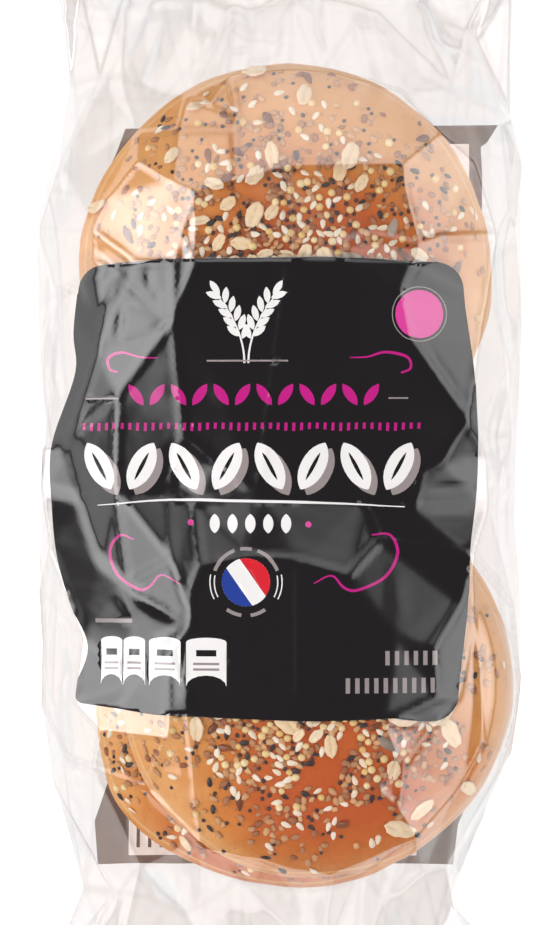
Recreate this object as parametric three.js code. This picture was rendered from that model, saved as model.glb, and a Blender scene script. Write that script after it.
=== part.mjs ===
// Clear film pack of four seeded buns, lying on its back: the outer form of the filled pack as one solid.
// Two stacks of two buns fill it. The film stands over them like a loose tent, is tucked in at both sides
// of each end, and is pressed flat in a sealed band at each end.
// Units are millimetres. +X is the right of the printed front, +Y its head, and +Z points up out of it.
// The origin is the middle of the pack's footprint, on the surface that it lies on.
import * as THREE from "three";

// Driving dimensions
const BUN_DIAMETER = 104;
const BUN_HEIGHT = 41;
const STACK_HEIGHT = 2 * BUN_HEIGHT;
const FILM_CLEARANCE = 4.5;
const FRONT_HEIGHT = STACK_HEIGHT + FILM_CLEARANCE;
const PACK_LENGTH = 292;
const SEAL_BAND = 12;
const SEAL_WIDTH = 132;
const SEAL_THICKNESS = 1.6;
const SEAL_HEIGHT = 35;
const GIRTH = 372;
const STACK_CENTRES = [
  { x: 1, y: 51.5 },
  { x: 8, y: -55 },
];

// How square the cross-section is: 2 is an ellipse, and more is squarer
const FRONT_SQUARENESS = 2.25;
const BACK_SQUARENESS = 5;
const SEAL_SQUARENESS = 9;
const SQUARE_BELOW = 14;
const BACK_SINK = 2;

// Mesh
const SEGMENTS_AROUND = 80;
const ROWS_BETWEEN_SEALS = 48;
const ROWS_IN_A_SEAL = 2;
const STEPS_FOR_LENGTH = 240;

// The film sinks where it passes over no bun. A bun holds it up within this share of the bun's diameter.
const SLACK_DEPTH = 6;
const SLACK_REACH = 24;
const HELD_UP = 0.42;

// Creases all over the film. Places and sizes are in millimetres, and a pair is the least and the most.
const FACETS = {
  seed: 41, count: 54, around: 118, along: 126, reach: [22, 62], spread: [11, 26], height: [0.9, 2.3],
};

// Pleats that gather the film at each end, on the front and the back
const PLEATS = {
  seed: 7, across: 7, span: 96, along: [108, 122], reach: [14, 24], spread: [6, 10], height: [1.2, 2.4],
};
const PLEAT_FAN = 0.7;
const PLEAT_SWAY = 0.2;

// Creases fade out over these distances: round the pack towards its plain back, upwards where the back
// leaves the floor, into a gusset, and as the pack thins towards a seal
const PLAIN_BACK_FROM = 112;
const PLAIN_BACK_TO = 132;
const BACK_RISE = 8;
const GUSSET_FADE = 4;
const THIN_FADE = 12;

// Shares of the half height: how high the gusset reaches, and how far above the middle the slack is full
const GUSSET_SHARE = 0.5;
const FRONT_SHARE = 0.8;

const END = PACK_LENGTH / 2;
const SEAL_START = END - SEAL_BAND;
const SEAL_HALF = SEAL_WIDTH / 2;
const SEAL_TOP = SEAL_HEIGHT + SEAL_THICKNESS / 2;
const SEAL_BOTTOM = SEAL_HEIGHT - SEAL_THICKNESS / 2;

// Cross-sections from the foot to the head. tuck is how far the gusset pulls the middle of each side in.
const STATIONS = [
  { y: -END, left: SEAL_HALF, right: SEAL_HALF, top: SEAL_TOP, bottom: SEAL_BOTTOM, tuck: 0 },
  { y: -SEAL_START, left: SEAL_HALF, right: SEAL_HALF, top: SEAL_TOP, bottom: SEAL_BOTTOM, tuck: 0 },
  { y: -128, left: 64, right: 61, top: 41.5, bottom: 28.5, tuck: 3 },
  { y: -120, left: 61, right: 56, top: 50, bottom: 20, tuck: 11 },
  { y: -110, left: 57, right: 52, top: 61, bottom: 11, tuck: 14 },
  { y: -98, left: 56.5, right: 53, top: 72, bottom: 3, tuck: 7 },
  { y: -80, left: 59.5, right: 57.5, top: 82, bottom: 0, tuck: 0 },
  { y: -54, left: 62, right: 61.5, top: FRONT_HEIGHT - 0.5, bottom: 0, tuck: 0 },
  { y: -3, left: 62.5, right: 61, top: FRONT_HEIGHT - 5, bottom: 0, tuck: 0 },
  { y: 52, left: 63.5, right: 63, top: FRONT_HEIGHT, bottom: 0, tuck: 0 },
  { y: 80, left: 63, right: 62.5, top: 83, bottom: 0, tuck: 0 },
  { y: 99, left: 61, right: 62, top: 73.5, bottom: 3, tuck: 4 },
  { y: 111, left: 59.5, right: 61.5, top: 60.5, bottom: 11, tuck: 12 },
  { y: 120, left: 60, right: 61.5, top: 50, bottom: 20, tuck: 10 },
  { y: 128, left: 63, right: 63.5, top: 41.5, bottom: 28.5, tuck: 3 },
  { y: SEAL_START, left: SEAL_HALF, right: SEAL_HALF, top: SEAL_TOP, bottom: SEAL_BOTTOM, tuck: 0 },
  { y: END, left: SEAL_HALF, right: SEAL_HALF, top: SEAL_TOP, bottom: SEAL_BOTTOM, tuck: 0 },
];

const clamp01 = (x) => Math.min(Math.max(x, 0), 1);
const smooth = (x) => clamp01(x) ** 2 * (3 - 2 * clamp01(x));
const mix = (a, b, t) => a + (b - a) * t;

// Repeatable numbers from 0 to 1
function randomFrom(seed) {
  let state = seed >>> 0;
  return () => {
    state = (Math.imul(state, 1664525) + 1013904223) >>> 0;
    return state / 2 ** 32;
  };
}

// The slope of one column of the stations at station i, with no overshoot between them
function slopeAt(column, i) {
  const last = STATIONS.length - 1;
  if (i === 0 || i === last) return 0;
  const rise = (k) => (STATIONS[k + 1][column] - STATIONS[k][column]) / (STATIONS[k + 1].y - STATIONS[k].y);
  const before = rise(i - 1);
  const after = rise(i);
  return before * after <= 0 ? 0 : (2 * before * after) / (before + after);
}

// One column of the stations at y, as a smooth curve
function stationValue(column, y) {
  let i = 0;
  while (i < STATIONS.length - 2 && y > STATIONS[i + 1].y) i += 1;
  const span = STATIONS[i + 1].y - STATIONS[i].y;
  const t = clamp01((y - STATIONS[i].y) / span);
  const fromValues = mix(STATIONS[i][column], STATIONS[i + 1][column], smooth(t));
  const fromSlopes = (1 - t) * slopeAt(column, i) - t * slopeAt(column, i + 1);
  return fromValues + t * (1 - t) * span * fromSlopes;
}

function stationAt(y) {
  const at = { y };
  for (const column of ["left", "right", "top", "bottom", "tuck"]) at[column] = stationValue(column, y);
  at.middle = (at.top + at.bottom) / 2;
  at.half = (at.top - at.bottom) / 2;
  return at;
}

// How far the gusset pulls the film in at height z of a cross-section
const tuckAt = (at, z) => at.tuck * Math.exp(-(((z - at.middle) / (GUSSET_SHARE * at.half)) ** 2));

// A point of the smooth cross-section. turn runs from -90 degrees at the back to 90 at the front.
function sectionPoint(at, side, turn) {
  const inFront = turn > 0;
  const flatness = clamp01(1 - at.half / SQUARE_BELOW) ** 2;
  const squareness = mix(inFront ? FRONT_SQUARENESS : BACK_SQUARENESS, SEAL_SQUARENESS, flatness);
  const outward = Math.cos(turn) ** (2 / squareness);
  const upward = Math.sign(turn) * Math.abs(Math.sin(turn)) ** (2 / squareness);
  const depth = inFront ? at.half : at.half + BACK_SINK * smooth(at.half / THIN_FADE - 1);
  const z = Math.max(at.middle + depth * upward, at.bottom);
  const width = (side > 0 ? at.right : at.left) - tuckAt(at, z);
  return new THREE.Vector2(side * width * outward, z);
}

// One side of the cross-section from the back's middle to the front's, as evenly spaced points
function sectionSide(at, side, segments) {
  const points = [];
  for (let k = 0; k <= STEPS_FOR_LENGTH; k += 1) {
    points.push(sectionPoint(at, side, Math.PI * (k / STEPS_FOR_LENGTH - 0.5)));
  }
  const lengths = [0];
  for (let k = 1; k < points.length; k += 1) {
    lengths.push(lengths[k - 1] + points[k].distanceTo(points[k - 1]));
  }
  const even = [];
  let k = 0;
  for (let j = 0; j <= segments; j += 1) {
    const wanted = (lengths[lengths.length - 1] * j) / segments;
    while (k < lengths.length - 2 && lengths[k + 1] < wanted) k += 1;
    const t = clamp01((wanted - lengths[k]) / (lengths[k + 1] - lengths[k] || 1));
    even.push(points[k].clone().lerp(points[k + 1], t));
  }
  return even;
}

// A closed ring of points at y: the back's middle, the right side, the front's middle and the left side
function ringAt(y) {
  const at = stationAt(y);
  const half = SEGMENTS_AROUND / 2;
  const right = sectionSide(at, 1, half);
  const left = sectionSide(at, -1, half);
  const ring = [];
  for (let j = 0; j < SEGMENTS_AROUND; j += 1) {
    const p = j <= half ? right[j] : left[SEGMENTS_AROUND - j];
    ring.push(new THREE.Vector3(p.x, y, p.y));
  }
  return { at, ring };
}

// Straight creases in the film's own plane: around is the distance round the pack from the front's middle,
// to the right, and along is y. Each one is a roof-shaped fold that fades out towards its two ends.
function makeCreases() {
  const creases = [];
  const facetRandom = randomFrom(FACETS.seed);
  for (let i = 0; i < FACETS.count; i += 1) {
    const around = mix(-FACETS.around, FACETS.around, facetRandom());
    const along = mix(-FACETS.along, FACETS.along, facetRandom());
    const turn = Math.PI * facetRandom();
    const reach = mix(...FACETS.reach, facetRandom());
    const spread = mix(...FACETS.spread, facetRandom());
    const height = mix(...FACETS.height, facetRandom()) * (i % 3 === 2 ? -1 : 1);
    creases.push({ around, along, turn, reach, spread, height });
  }
  const pleatRandom = randomFrom(PLEATS.seed);
  for (const [end, inFront] of [[-1, true], [-1, false], [1, true], [1, false]]) {
    for (let i = 0; i < PLEATS.across; i += 1) {
      const across = PLEATS.span * ((i + pleatRandom()) / PLEATS.across - 0.5);
      const around = inFront ? across : Math.sign(across) * (GIRTH / 2 - Math.abs(across));
      const along = end * mix(...PLEATS.along, pleatRandom());
      const sway = mix(-PLEAT_SWAY, PLEAT_SWAY, pleatRandom());
      const turn = Math.PI / 2 - end * (across / PLEATS.span) * PLEAT_FAN + sway;
      const reach = mix(...PLEATS.reach, pleatRandom());
      const spread = mix(...PLEATS.spread, pleatRandom());
      const height = mix(...PLEATS.height, pleatRandom()) * (i % 2 ? -1 : 1);
      creases.push({ around, along, turn, reach, spread, height });
    }
  }
  return creases;
}

// How far the film sinks where it passes over no bun, between the two stacks and at the pack's corners
function slackAt(x, y) {
  const fromStack = Math.min(...STACK_CENTRES.map((c) => Math.hypot(x - c.x, y - c.y)));
  const past = fromStack - BUN_DIAMETER * HELD_UP;
  return SLACK_DEPTH * smooth(past / SLACK_REACH);
}

// How far the creases lift the film at a place
function liftAt(creases, around, along) {
  let lift = 0;
  for (const c of creases) {
    const da = around - c.around;
    const dy = along - c.along;
    const across = -da * Math.sin(c.turn) + dy * Math.cos(c.turn);
    const lengthways = da * Math.cos(c.turn) + dy * Math.sin(c.turn);
    const roof = Math.max(0, 1 - Math.abs(across) / c.spread);
    const fade = Math.max(0, 1 - (lengthways / c.reach) ** 2);
    lift += c.height * roof * fade;
  }
  return lift;
}

// Rows of the mesh from the foot's cut edge to the head's
function rowPositions() {
  const rows = [];
  for (let i = 0; i < ROWS_IN_A_SEAL; i += 1) rows.push(-END + (SEAL_BAND * i) / ROWS_IN_A_SEAL);
  for (let i = 0; i <= ROWS_BETWEEN_SEALS; i += 1) {
    rows.push(-SEAL_START + (2 * SEAL_START * i) / ROWS_BETWEEN_SEALS);
  }
  for (let i = 1; i <= ROWS_IN_A_SEAL; i += 1) rows.push(SEAL_START + (SEAL_BAND * i) / ROWS_IN_A_SEAL);
  return rows;
}

// The creased pack as rings of points
function creasedRings() {
  const sections = rowPositions().map(ringAt);
  const creases = makeCreases();
  const n = SEGMENTS_AROUND;
  return sections.map(({ at, ring }, i) => {
    const before = sections[Math.max(i - 1, 0)].ring;
    const after = sections[Math.min(i + 1, sections.length - 1)].ring;
    const thin = smooth((at.half - SEAL_THICKNESS) / THIN_FADE);
    return ring.map((p, j) => {
      const aroundStep = ring[(j + 1) % n].clone().sub(ring[(j + n - 1) % n]);
      const normal = after[j].clone().sub(before[j]).cross(aroundStep).normalize();
      const around = (0.5 - j / n) * GIRTH;
      const onFloor = smooth((Math.abs(around) - PLAIN_BACK_FROM) / (PLAIN_BACK_TO - PLAIN_BACK_FROM));
      const offFloor = 1 - onFloor * (1 - smooth(at.bottom / BACK_RISE));
      const outOfGusset = 1 - smooth(tuckAt(at, p.z) / GUSSET_FADE);
      const inFront = smooth((p.z - at.middle) / (FRONT_SHARE * at.half));
      const lift = offFloor * outOfGusset * liftAt(creases, around, at.y) - inFront * slackAt(p.x, at.y);
      const moved = p.clone().addScaledVector(normal, thin * lift);
      moved.z = Math.max(moved.z, 0);
      return moved;
    });
  });
}

// A closed mesh from rings of points, capped at both ends by a strip between the front and back layers
function closedMesh(rings) {
  const n = SEGMENTS_AROUND;
  const positions = rings.flat().flatMap((p) => p.toArray());
  const faces = [];
  for (let i = 0; i < rings.length - 1; i += 1) {
    for (let j = 0; j < n; j += 1) {
      const a = i * n + j;
      const b = i * n + ((j + 1) % n);
      faces.push(a, a + n, b, b, a + n, b + n);
    }
  }
  const cap = (start, outward) => {
    const quad = (a, b, c, d) => (outward ? faces.push(a, b, c, a, c, d) : faces.push(a, c, b, a, d, c));
    for (let j = 0; j < n / 4; j += 1) {
      const front = n / 2 - j;
      if (front - 1 > j + 1) quad(start + j, start + front, start + front - 1, start + j + 1);
      else if (outward) faces.push(start + j, start + front, start + j + 1);
      else faces.push(start + j, start + j + 1, start + front);
      const back = (n - j) % n;
      const leftFront = n / 2 + j;
      const lastBack = n - j - 1;
      const past = leftFront + 1;
      if (past < lastBack) quad(start + back, start + lastBack, start + past, start + leftFront);
      else if (outward) faces.push(start + back, start + lastBack, start + leftFront);
      else faces.push(start + back, start + leftFront, start + lastBack);
    }
  };
  cap(0, false);
  cap((rings.length - 1) * n, true);
  const geometry = new THREE.BufferGeometry();
  geometry.setAttribute("position", new THREE.Float32BufferAttribute(positions, 3));
  geometry.setIndex(faces);
  geometry.computeVertexNormals();
  return geometry;
}

const film = new THREE.MeshStandardMaterial({ color: 0xd9a066, roughness: 0.15, metalness: 0, name: "film" });

const bag = new THREE.Mesh(closedMesh(creasedRings()), film);
bag.name = "bag";

const pack = new THREE.Group();
pack.add(bag);

export default pack;
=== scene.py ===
import math
from typing import NamedTuple

import bpy
import numpy as np
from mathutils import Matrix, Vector, noise
from mathutils.bvhtree import BVHTree
from mathutils.geometry import delaunay_2d_cdt


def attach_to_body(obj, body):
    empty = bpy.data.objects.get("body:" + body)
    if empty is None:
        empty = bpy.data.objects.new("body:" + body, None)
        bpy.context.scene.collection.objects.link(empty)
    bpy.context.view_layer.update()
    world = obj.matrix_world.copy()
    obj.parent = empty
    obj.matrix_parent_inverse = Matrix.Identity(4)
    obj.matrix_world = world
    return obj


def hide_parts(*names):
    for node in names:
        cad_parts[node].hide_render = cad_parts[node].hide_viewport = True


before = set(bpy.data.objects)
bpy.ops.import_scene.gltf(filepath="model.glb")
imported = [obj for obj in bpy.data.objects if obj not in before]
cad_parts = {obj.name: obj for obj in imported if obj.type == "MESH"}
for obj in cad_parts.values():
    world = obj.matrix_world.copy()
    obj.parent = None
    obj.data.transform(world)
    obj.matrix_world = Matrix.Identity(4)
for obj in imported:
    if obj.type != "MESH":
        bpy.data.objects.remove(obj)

MM = 0.001
FULL_TURN = 2 * math.pi
ABOVE_ALL = 200.0
BELOW_ALL = -50.0
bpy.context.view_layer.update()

# Buns: two stacks of two. A bun is widest at its waist, and its dome is a superellipse.
BUN_HEIGHT = 40.0
WAIST = 14.0
DOME_POWER = 2.2
UNDER_ROUND = 9.0
FLOOR_GAP = 0.6
STACK_GAP = 0.5


class Bun(NamedTuple):
    """browned: the darkest place, as shares of the radius. bulge: a share of the radius and its direction."""
    name: str
    x: float
    y: float
    radius: float
    level: int
    seed: int
    spread: float = 1.0
    browned: tuple = (0.0, 0.0)
    bulge: tuple = (0.0, 0)

    @property
    def upper(self):
        return self.level == 1

    @property
    def base(self):
        return FLOOR_GAP + self.level * BUN_HEIGHT

    @property
    def top(self):
        return BUN_HEIGHT if self.upper else BUN_HEIGHT - STACK_GAP


BUNS = [
    Bun("bun_head_lower", 1.0, 50.5, 52.0, 0, seed=3),
    Bun("bun_head_upper", 1.0, 51.5, 53.4, 1, seed=11, spread=1.08, browned=(0.12, -0.12)),
    Bun("bun_foot_lower", 3.2, -57.5, 52.3, 0, seed=23, browned=(-0.12, -0.45), bulge=(0.08, 215)),
    Bun("bun_foot_upper", 9.0, -53.6, 50.4, 1, seed=31, spread=0.86, browned=(0.08, -0.36)),
]

# The film's outer form, as the part's solid has it
PACK_LENGTH = 292.0
SEAL_BAND = 12.0
SEAL_HALF = 66.0
SEAL_HEIGHT = 35.0
SEAL_LAYER = 0.25
FRONT_HEIGHT = 86.5
GIRTH = 372.0
HALF_GIRTH = GIRTH / 2
END = PACK_LENGTH / 2
SEAL_START = END - SEAL_BAND
FRONT_SQUARENESS = 2.25
BACK_SQUARENESS = 5.0
SEAL_SQUARENESS = 9.0
SQUARE_BELOW = 14.0
BACK_SINK = 2.0
THIN_FADE = 12.0
GUSSET_SHARE = 0.5

# Cross-sections from the foot to the head: y, left, right, top, bottom, tuck
SEAL = (SEAL_HALF, SEAL_HALF, SEAL_HEIGHT + SEAL_LAYER, SEAL_HEIGHT - SEAL_LAYER, 0)
STATIONS = np.array([
    (-END, *SEAL),
    (-SEAL_START, *SEAL),
    (-128, 64, 61, 41.5, 28.5, 3),
    (-120, 61, 56, 50, 20, 11),
    (-110, 57, 52, 61, 11, 14),
    (-98, 56.5, 53, 72, 3, 7),
    (-80, 59.5, 57.5, 82, 0, 0),
    (-54, 62, 61.5, FRONT_HEIGHT - 0.5, 0, 0),
    (-3, 62.5, 61, FRONT_HEIGHT - 5, 0, 0),
    (52, 63.5, 63, FRONT_HEIGHT, 0, 0),
    (80, 63, 62.5, 83, 0, 0),
    (99, 61, 62, 73.5, 3, 4),
    (111, 59.5, 61.5, 60.5, 11, 12),
    (120, 60, 61.5, 50, 20, 10),
    (128, 63, 63.5, 41.5, 28.5, 3),
    (SEAL_START, *SEAL),
    (END, *SEAL),
], dtype=float)


# Helpers for numbers and outlines

def clamp01(x):
    return np.clip(x, 0.0, 1.0)


def smooth(x):
    t = clamp01(x)
    return t * t * (3 - 2 * t)


def mix(a, b, t):
    return a + (b - a) * t


def srgb(r, g, b):
    """A linear colour from screen values of 0 to 255."""
    def channel(c):
        c = c / 255
        return c / 12.92 if c <= 0.04045 else ((c + 0.055) / 1.055) ** 2.4
    return (channel(r), channel(g), channel(b), 1.0)


def inside(outline, points):
    """Which points lie inside an outline."""
    outline = np.array(outline, dtype=float)
    x, y = points[:, 0], points[:, 1]
    crossings = np.zeros(len(points), dtype=int)
    for (x0, y0), (x1, y1) in zip(outline, np.roll(outline, -1, axis=0)):
        if y0 == y1:
            continue
        spans = (y0 <= y) != (y1 <= y)
        crossings += spans & (x < x0 + (y - y0) * (x1 - x0) / (y1 - y0))
    return crossings % 2 == 1


# Mesh helpers

def add_mesh(name, points_mm, faces, materials):
    """A piece that rides on the pack's one body and is shown in place of its solid."""
    mesh = bpy.data.meshes.new(name)
    points = np.asarray(points_mm, dtype=float) * MM
    mesh.from_pydata(points.tolist(), [], faces)
    for material in materials:
        mesh.materials.append(material)
    mesh.polygons.foreach_set("use_smooth", [True] * len(mesh.polygons))
    mesh.update()
    piece = bpy.data.objects.new(name, mesh)
    bpy.context.scene.collection.objects.link(piece)
    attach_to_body(piece, "root")
    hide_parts("bag")
    return piece


def set_values(mesh, name, values):
    """One number for each point of a mesh, for its material to read."""
    layer = mesh.attributes.new(name, "FLOAT", "POINT")
    layer.data.foreach_set("value", np.asarray(values, dtype=np.float32))


def ring_faces(around, rings, split):
    """Faces from a first point over rings of points to a last point. split: in triangles only."""
    sides = [(j, (j + 1) % around) for j in range(around)]
    faces = [(0, 1 + k, 1 + j) for j, k in sides]
    last = 1 + (rings - 1) * around
    for first in range(1, last, around):
        for j, k in sides:
            a, b, c, d = first + j, first + k, first + around + k, first + around + j
            faces += [(a, b, c), (a, c, d)] if split else [(a, b, c, d)]
    return faces + [(last + j, last + k, last + around) for j, k in sides]


# Material helpers

def new_material(name):
    material = bpy.data.materials.new(name)
    material.use_nodes = True
    tree = material.node_tree
    tree.nodes.clear()
    output = tree.nodes.new("ShaderNodeOutputMaterial")
    shader = tree.nodes.new("ShaderNodeBsdfPrincipled")
    tree.links.new(shader.outputs["BSDF"], output.inputs["Surface"])
    return material, tree, shader


def attach(tree, value, socket):
    """Links another node's output to a socket, or gives the socket a plain value."""
    if isinstance(value, bpy.types.NodeSocket):
        tree.links.new(value, socket)
    else:
        socket.default_value = value


def set_inputs(tree, made, inputs):
    for key, value in inputs.items():
        attach(tree, value, made.inputs[key])


def node(tree, kind, inputs=None, **settings):
    made = tree.nodes.new("ShaderNode" + kind)
    for key, value in settings.items():
        setattr(made, key, value)
    set_inputs(tree, made, inputs or {})
    return made


def attribute(tree, name):
    return node(tree, "Attribute", attribute_name=name).outputs["Fac"]


def ramp(tree, factor, stops):
    made = node(tree, "ValToRGB", {"Fac": factor})
    elements = made.color_ramp.elements
    while len(elements) < len(stops):
        elements.new(0.5)
    for element, (position, colour) in zip(elements, stops):
        element.position = position
        element.color = colour
    return made.outputs["Color"]


def noise_value(tree, scale, detail, roughness=0.55):
    place = node(tree, "TexCoord").outputs["Object"]
    inputs = {"Vector": place, "Scale": scale, "Detail": detail, "Roughness": roughness}
    return node(tree, "TexNoise", inputs).outputs["Fac"]


def mix_colour(tree, factor, first, second):
    made = node(tree, "Mix", data_type="RGBA")
    sockets = {socket.identifier: socket for socket in [*made.inputs, *made.outputs]}
    for key, value in (("Factor_Float", factor), ("A_Color", first), ("B_Color", second)):
        attach(tree, value, sockets[key])
    return sockets["Result_Color"]


def maths(tree, operation, a, b, clamp=False):
    return node(tree, "Math", {0: a, 1: b}, operation=operation, use_clamp=clamp).outputs[0]


def swayed(tree, value, by, amount, clamp=False):
    """A value moved up and down by another one, which lies round a half."""
    centred = maths(tree, "SUBTRACT", by, 0.5)
    return maths(tree, "ADD", value, maths(tree, "MULTIPLY", centred, amount), clamp)


def bump(tree, shader, height, strength, distance_mm):
    made = node(tree, "Bump", {"Height": height, "Strength": strength, "Distance": distance_mm * MM})
    attach(tree, made.outputs["Normal"], shader.inputs["Normal"])


def cloudy_bump(tree, shader):
    """The faint unevenness of film, printed or clear."""
    bump(tree, shader, noise_value(tree, 90, 2, 0.5), 0.2, 0.5)


# Buns

BUN_SEGMENTS = 180
UNDER_STEPS = 12
CORNER_STEPS = 14
DOME_STEPS = 90
# Waves round the outline: how many, how far each bun's seed turns them, and their height as a share
OUTLINE_WAVES = ((2, 1.0, 0.007), (3, 2.1, 0.006), (7, 0.7, 0.003))
BULGE_SPREAD = 0.32
ROUND_MIDDLE = 0.05
# Dents: scale and depth
DENTS = ((0.055, 0.55), (0.16, 0.22))
DENT_FADE = 6
DENT_ON_TOP = 1.3
NOISE_APART = 50
SLIT_HEIGHT = 21.0
SLIT_HALF_WIDTH = 0.55
SLIT_DEPTH = 0.8
SLIT_FROM = 0.8
PALE_UP_TO = 5
BROWNED_REACH = 0.25
BROWNED_FADE = 0.65
PRESSED_FROM = WAIST + 6
BUN_UNDER_FILM = 1.4


def dome_height(share):
    """The dome's height over a bun's base at a share of its radius."""
    rise = np.maximum(1 - np.minimum(share, 1) ** DOME_POWER, 0) ** (1 / DOME_POWER)
    return WAIST + (BUN_HEIGHT - WAIST) * rise


def bun_profile(radius):
    """Half a bun's outline as (radius, height), from beside its middle below to beside its middle above."""
    under = [(r, 0.0) for r in np.linspace(0, radius - UNDER_ROUND, UNDER_STEPS, endpoint=False)]
    turns = np.linspace(0, math.pi / 2, CORNER_STEPS, endpoint=False)
    corner = [(radius - UNDER_ROUND * (1 - math.sin(a)), WAIST * (1 - math.cos(a))) for a in turns]
    lifts = np.linspace(0, math.pi / 2, DOME_STEPS)[:-1]
    power = 2 / DOME_POWER
    rise = BUN_HEIGHT - WAIST
    dome = [(radius * math.cos(a) ** power, WAIST + rise * math.sin(a) ** power) for a in lifts]
    return np.array(under[1:] + corner + dome)


def outline_factor(bun, angle):
    """How far a bun's outline is from round."""
    amount, direction = bun.bulge
    bulged = amount * np.exp(-(((angle - math.radians(direction)) / BULGE_SPREAD) ** 2))
    waves = sum(height * np.sin(count * angle + turn * bun.seed) for count, turn, height in OUTLINE_WAVES)
    return 1 + waves + bulged


def film_height(film, x, y):
    """The height of the film's front over (x, y)."""
    place = film.ray_cast(Vector((x, y, ABOVE_ALL)), Vector((0, 0, -1)))[0]
    return place.z if place else ABOVE_ALL


def browning(bun, angle, share):
    """How dark the crust is baked at one place of the dome, from 0 to 1."""
    x, y = bun.browned
    from_darkest = math.hypot(math.cos(angle) * share - x, math.sin(angle) * share - y)
    return float(1 - smooth((from_darkest - BROWNED_REACH) / BROWNED_FADE))


def crust_point(bun, film, radius, z, angle, cut):
    """A point of the uneven crust, cut in at the slit and kept under the film."""
    share = radius / bun.radius
    factor = outline_factor(bun, angle)
    if share <= ROUND_MIDDLE:
        factor = 1 + (factor - 1) * share / ROUND_MIDDLE
    spot = Vector((math.cos(angle) * radius, math.sin(angle) * radius, z + NOISE_APART * bun.seed))
    dent = sum(depth * noise.noise(spot * scale) for scale, depth in DENTS)
    dent *= float(smooth(z / DENT_FADE))
    reach = radius * factor + dent * share - SLIT_DEPTH * cut
    height = min(z + dent * (1 - share) * DENT_ON_TOP, bun.top)
    x, y = bun.x + math.cos(angle) * reach, bun.y + math.sin(angle) * reach
    if bun.upper and z > PRESSED_FROM:
        height = min(height, film_height(film, x, y) - BUN_UNDER_FILM - bun.base)
    return x, y, bun.base + height


def make_bun(bun, film, material):
    profile = bun_profile(bun.radius)
    at_slit = np.exp(-(((profile[:, 1] - SLIT_HEIGHT) / SLIT_HALF_WIDTH) ** 2))
    slit = at_slit * (profile[:, 0] > bun.radius * SLIT_FROM)
    points = [(bun.x, bun.y, bun.base)]
    bake = [0.0]
    pale = [1.0]
    for (radius, z), cut in zip(profile, slit):
        for angle in np.linspace(0, FULL_TURN, BUN_SEGMENTS, endpoint=False):
            points.append(crust_point(bun, film, radius, z, angle, cut))
            bake.append(browning(bun, angle, radius / bun.radius) if z > WAIST else 0.0)
            pale.append(max(float(cut), 1 - float(smooth(z / PALE_UP_TO))))
    points.append((bun.x, bun.y, bun.base + bun.top))
    bake.append(browning(bun, 0.0, 0.0))
    pale.append(0.0)
    piece = add_mesh(bun.name, points, ring_faces(BUN_SEGMENTS, len(profile), False), [material])
    set_values(piece.data, "bake", bake)
    set_values(piece.data, "pale", pale)


def crust_material():
    """Baked crust: pale at its underside and slit, and mottled, with dark pores."""
    material, tree, shader = new_material("crust")
    mottle = noise_value(tree, 170, 4)
    patchy = swayed(tree, attribute(tree, "bake"), noise_value(tree, 38, 2), 0.75)
    baked = ramp(tree, swayed(tree, patchy, mottle, 0.35, True), [
        (0.0, srgb(231, 168, 100)),
        (0.35, srgb(218, 138, 62)),
        (0.68, srgb(208, 112, 42)),
        (1.0, srgb(198, 92, 32)),
    ])
    pores = node(tree, "MapRange", {"Value": noise_value(tree, 620, 2), "From Min": 0.62, "From Max": 0.74})
    freckles = maths(tree, "MULTIPLY", pores.outputs["Result"], 0.35)
    freckled = mix_colour(tree, freckles, baked, srgb(120, 52, 20))
    rough = node(tree, "MapRange", {"Value": mottle, "To Min": 0.38, "To Max": 0.6})
    set_inputs(tree, shader, {
        "Base Color": mix_colour(tree, attribute(tree, "pale"), freckled, srgb(240, 205, 150)),
        "Roughness": rough.outputs["Result"],
        "Specular IOR Level": 0.35,
        "Subsurface Weight": 0.12,
        "Subsurface Radius": (0.004, 0.0018, 0.0008),
        "Subsurface Scale": 1.0,
    })
    grain = maths(tree, "MULTIPLY", noise_value(tree, 900, 3), 0.35)
    bump(tree, shader, maths(tree, "ADD", mottle, grain), 0.55, 0.5)
    return material


# Toppings

LOWER_BUN_SHARE = 0.55
LOWER_INNERMOST = 0.72
LOWER_SPREAD = 0.9
OUTERMOST = 0.96
TRIES_EACH = 60
MIDDLE_SHARE = 0.25
FULL_FROM = 0.45
BARE_SCALE = 0.075
BARE_BELOW = -0.36
CROWDING = 0.8
SLOPE_STEP = 0.01
SEED_UNDER_FILM = 0.2


def sphere_shape(rings, segments):
    """A unit sphere as points and triangles."""
    points = [(0.0, 0.0, -1.0)]
    for i in range(1, rings):
        polar = math.pi * i / rings
        for j in range(segments):
            a = FULL_TURN * j / segments
            points.append((math.sin(polar) * math.cos(a), math.sin(polar) * math.sin(a), -math.cos(polar)))
    points.append((0.0, 0.0, 1.0))
    return np.array(points), np.array(ring_faces(segments, rings - 1, True))


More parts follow.
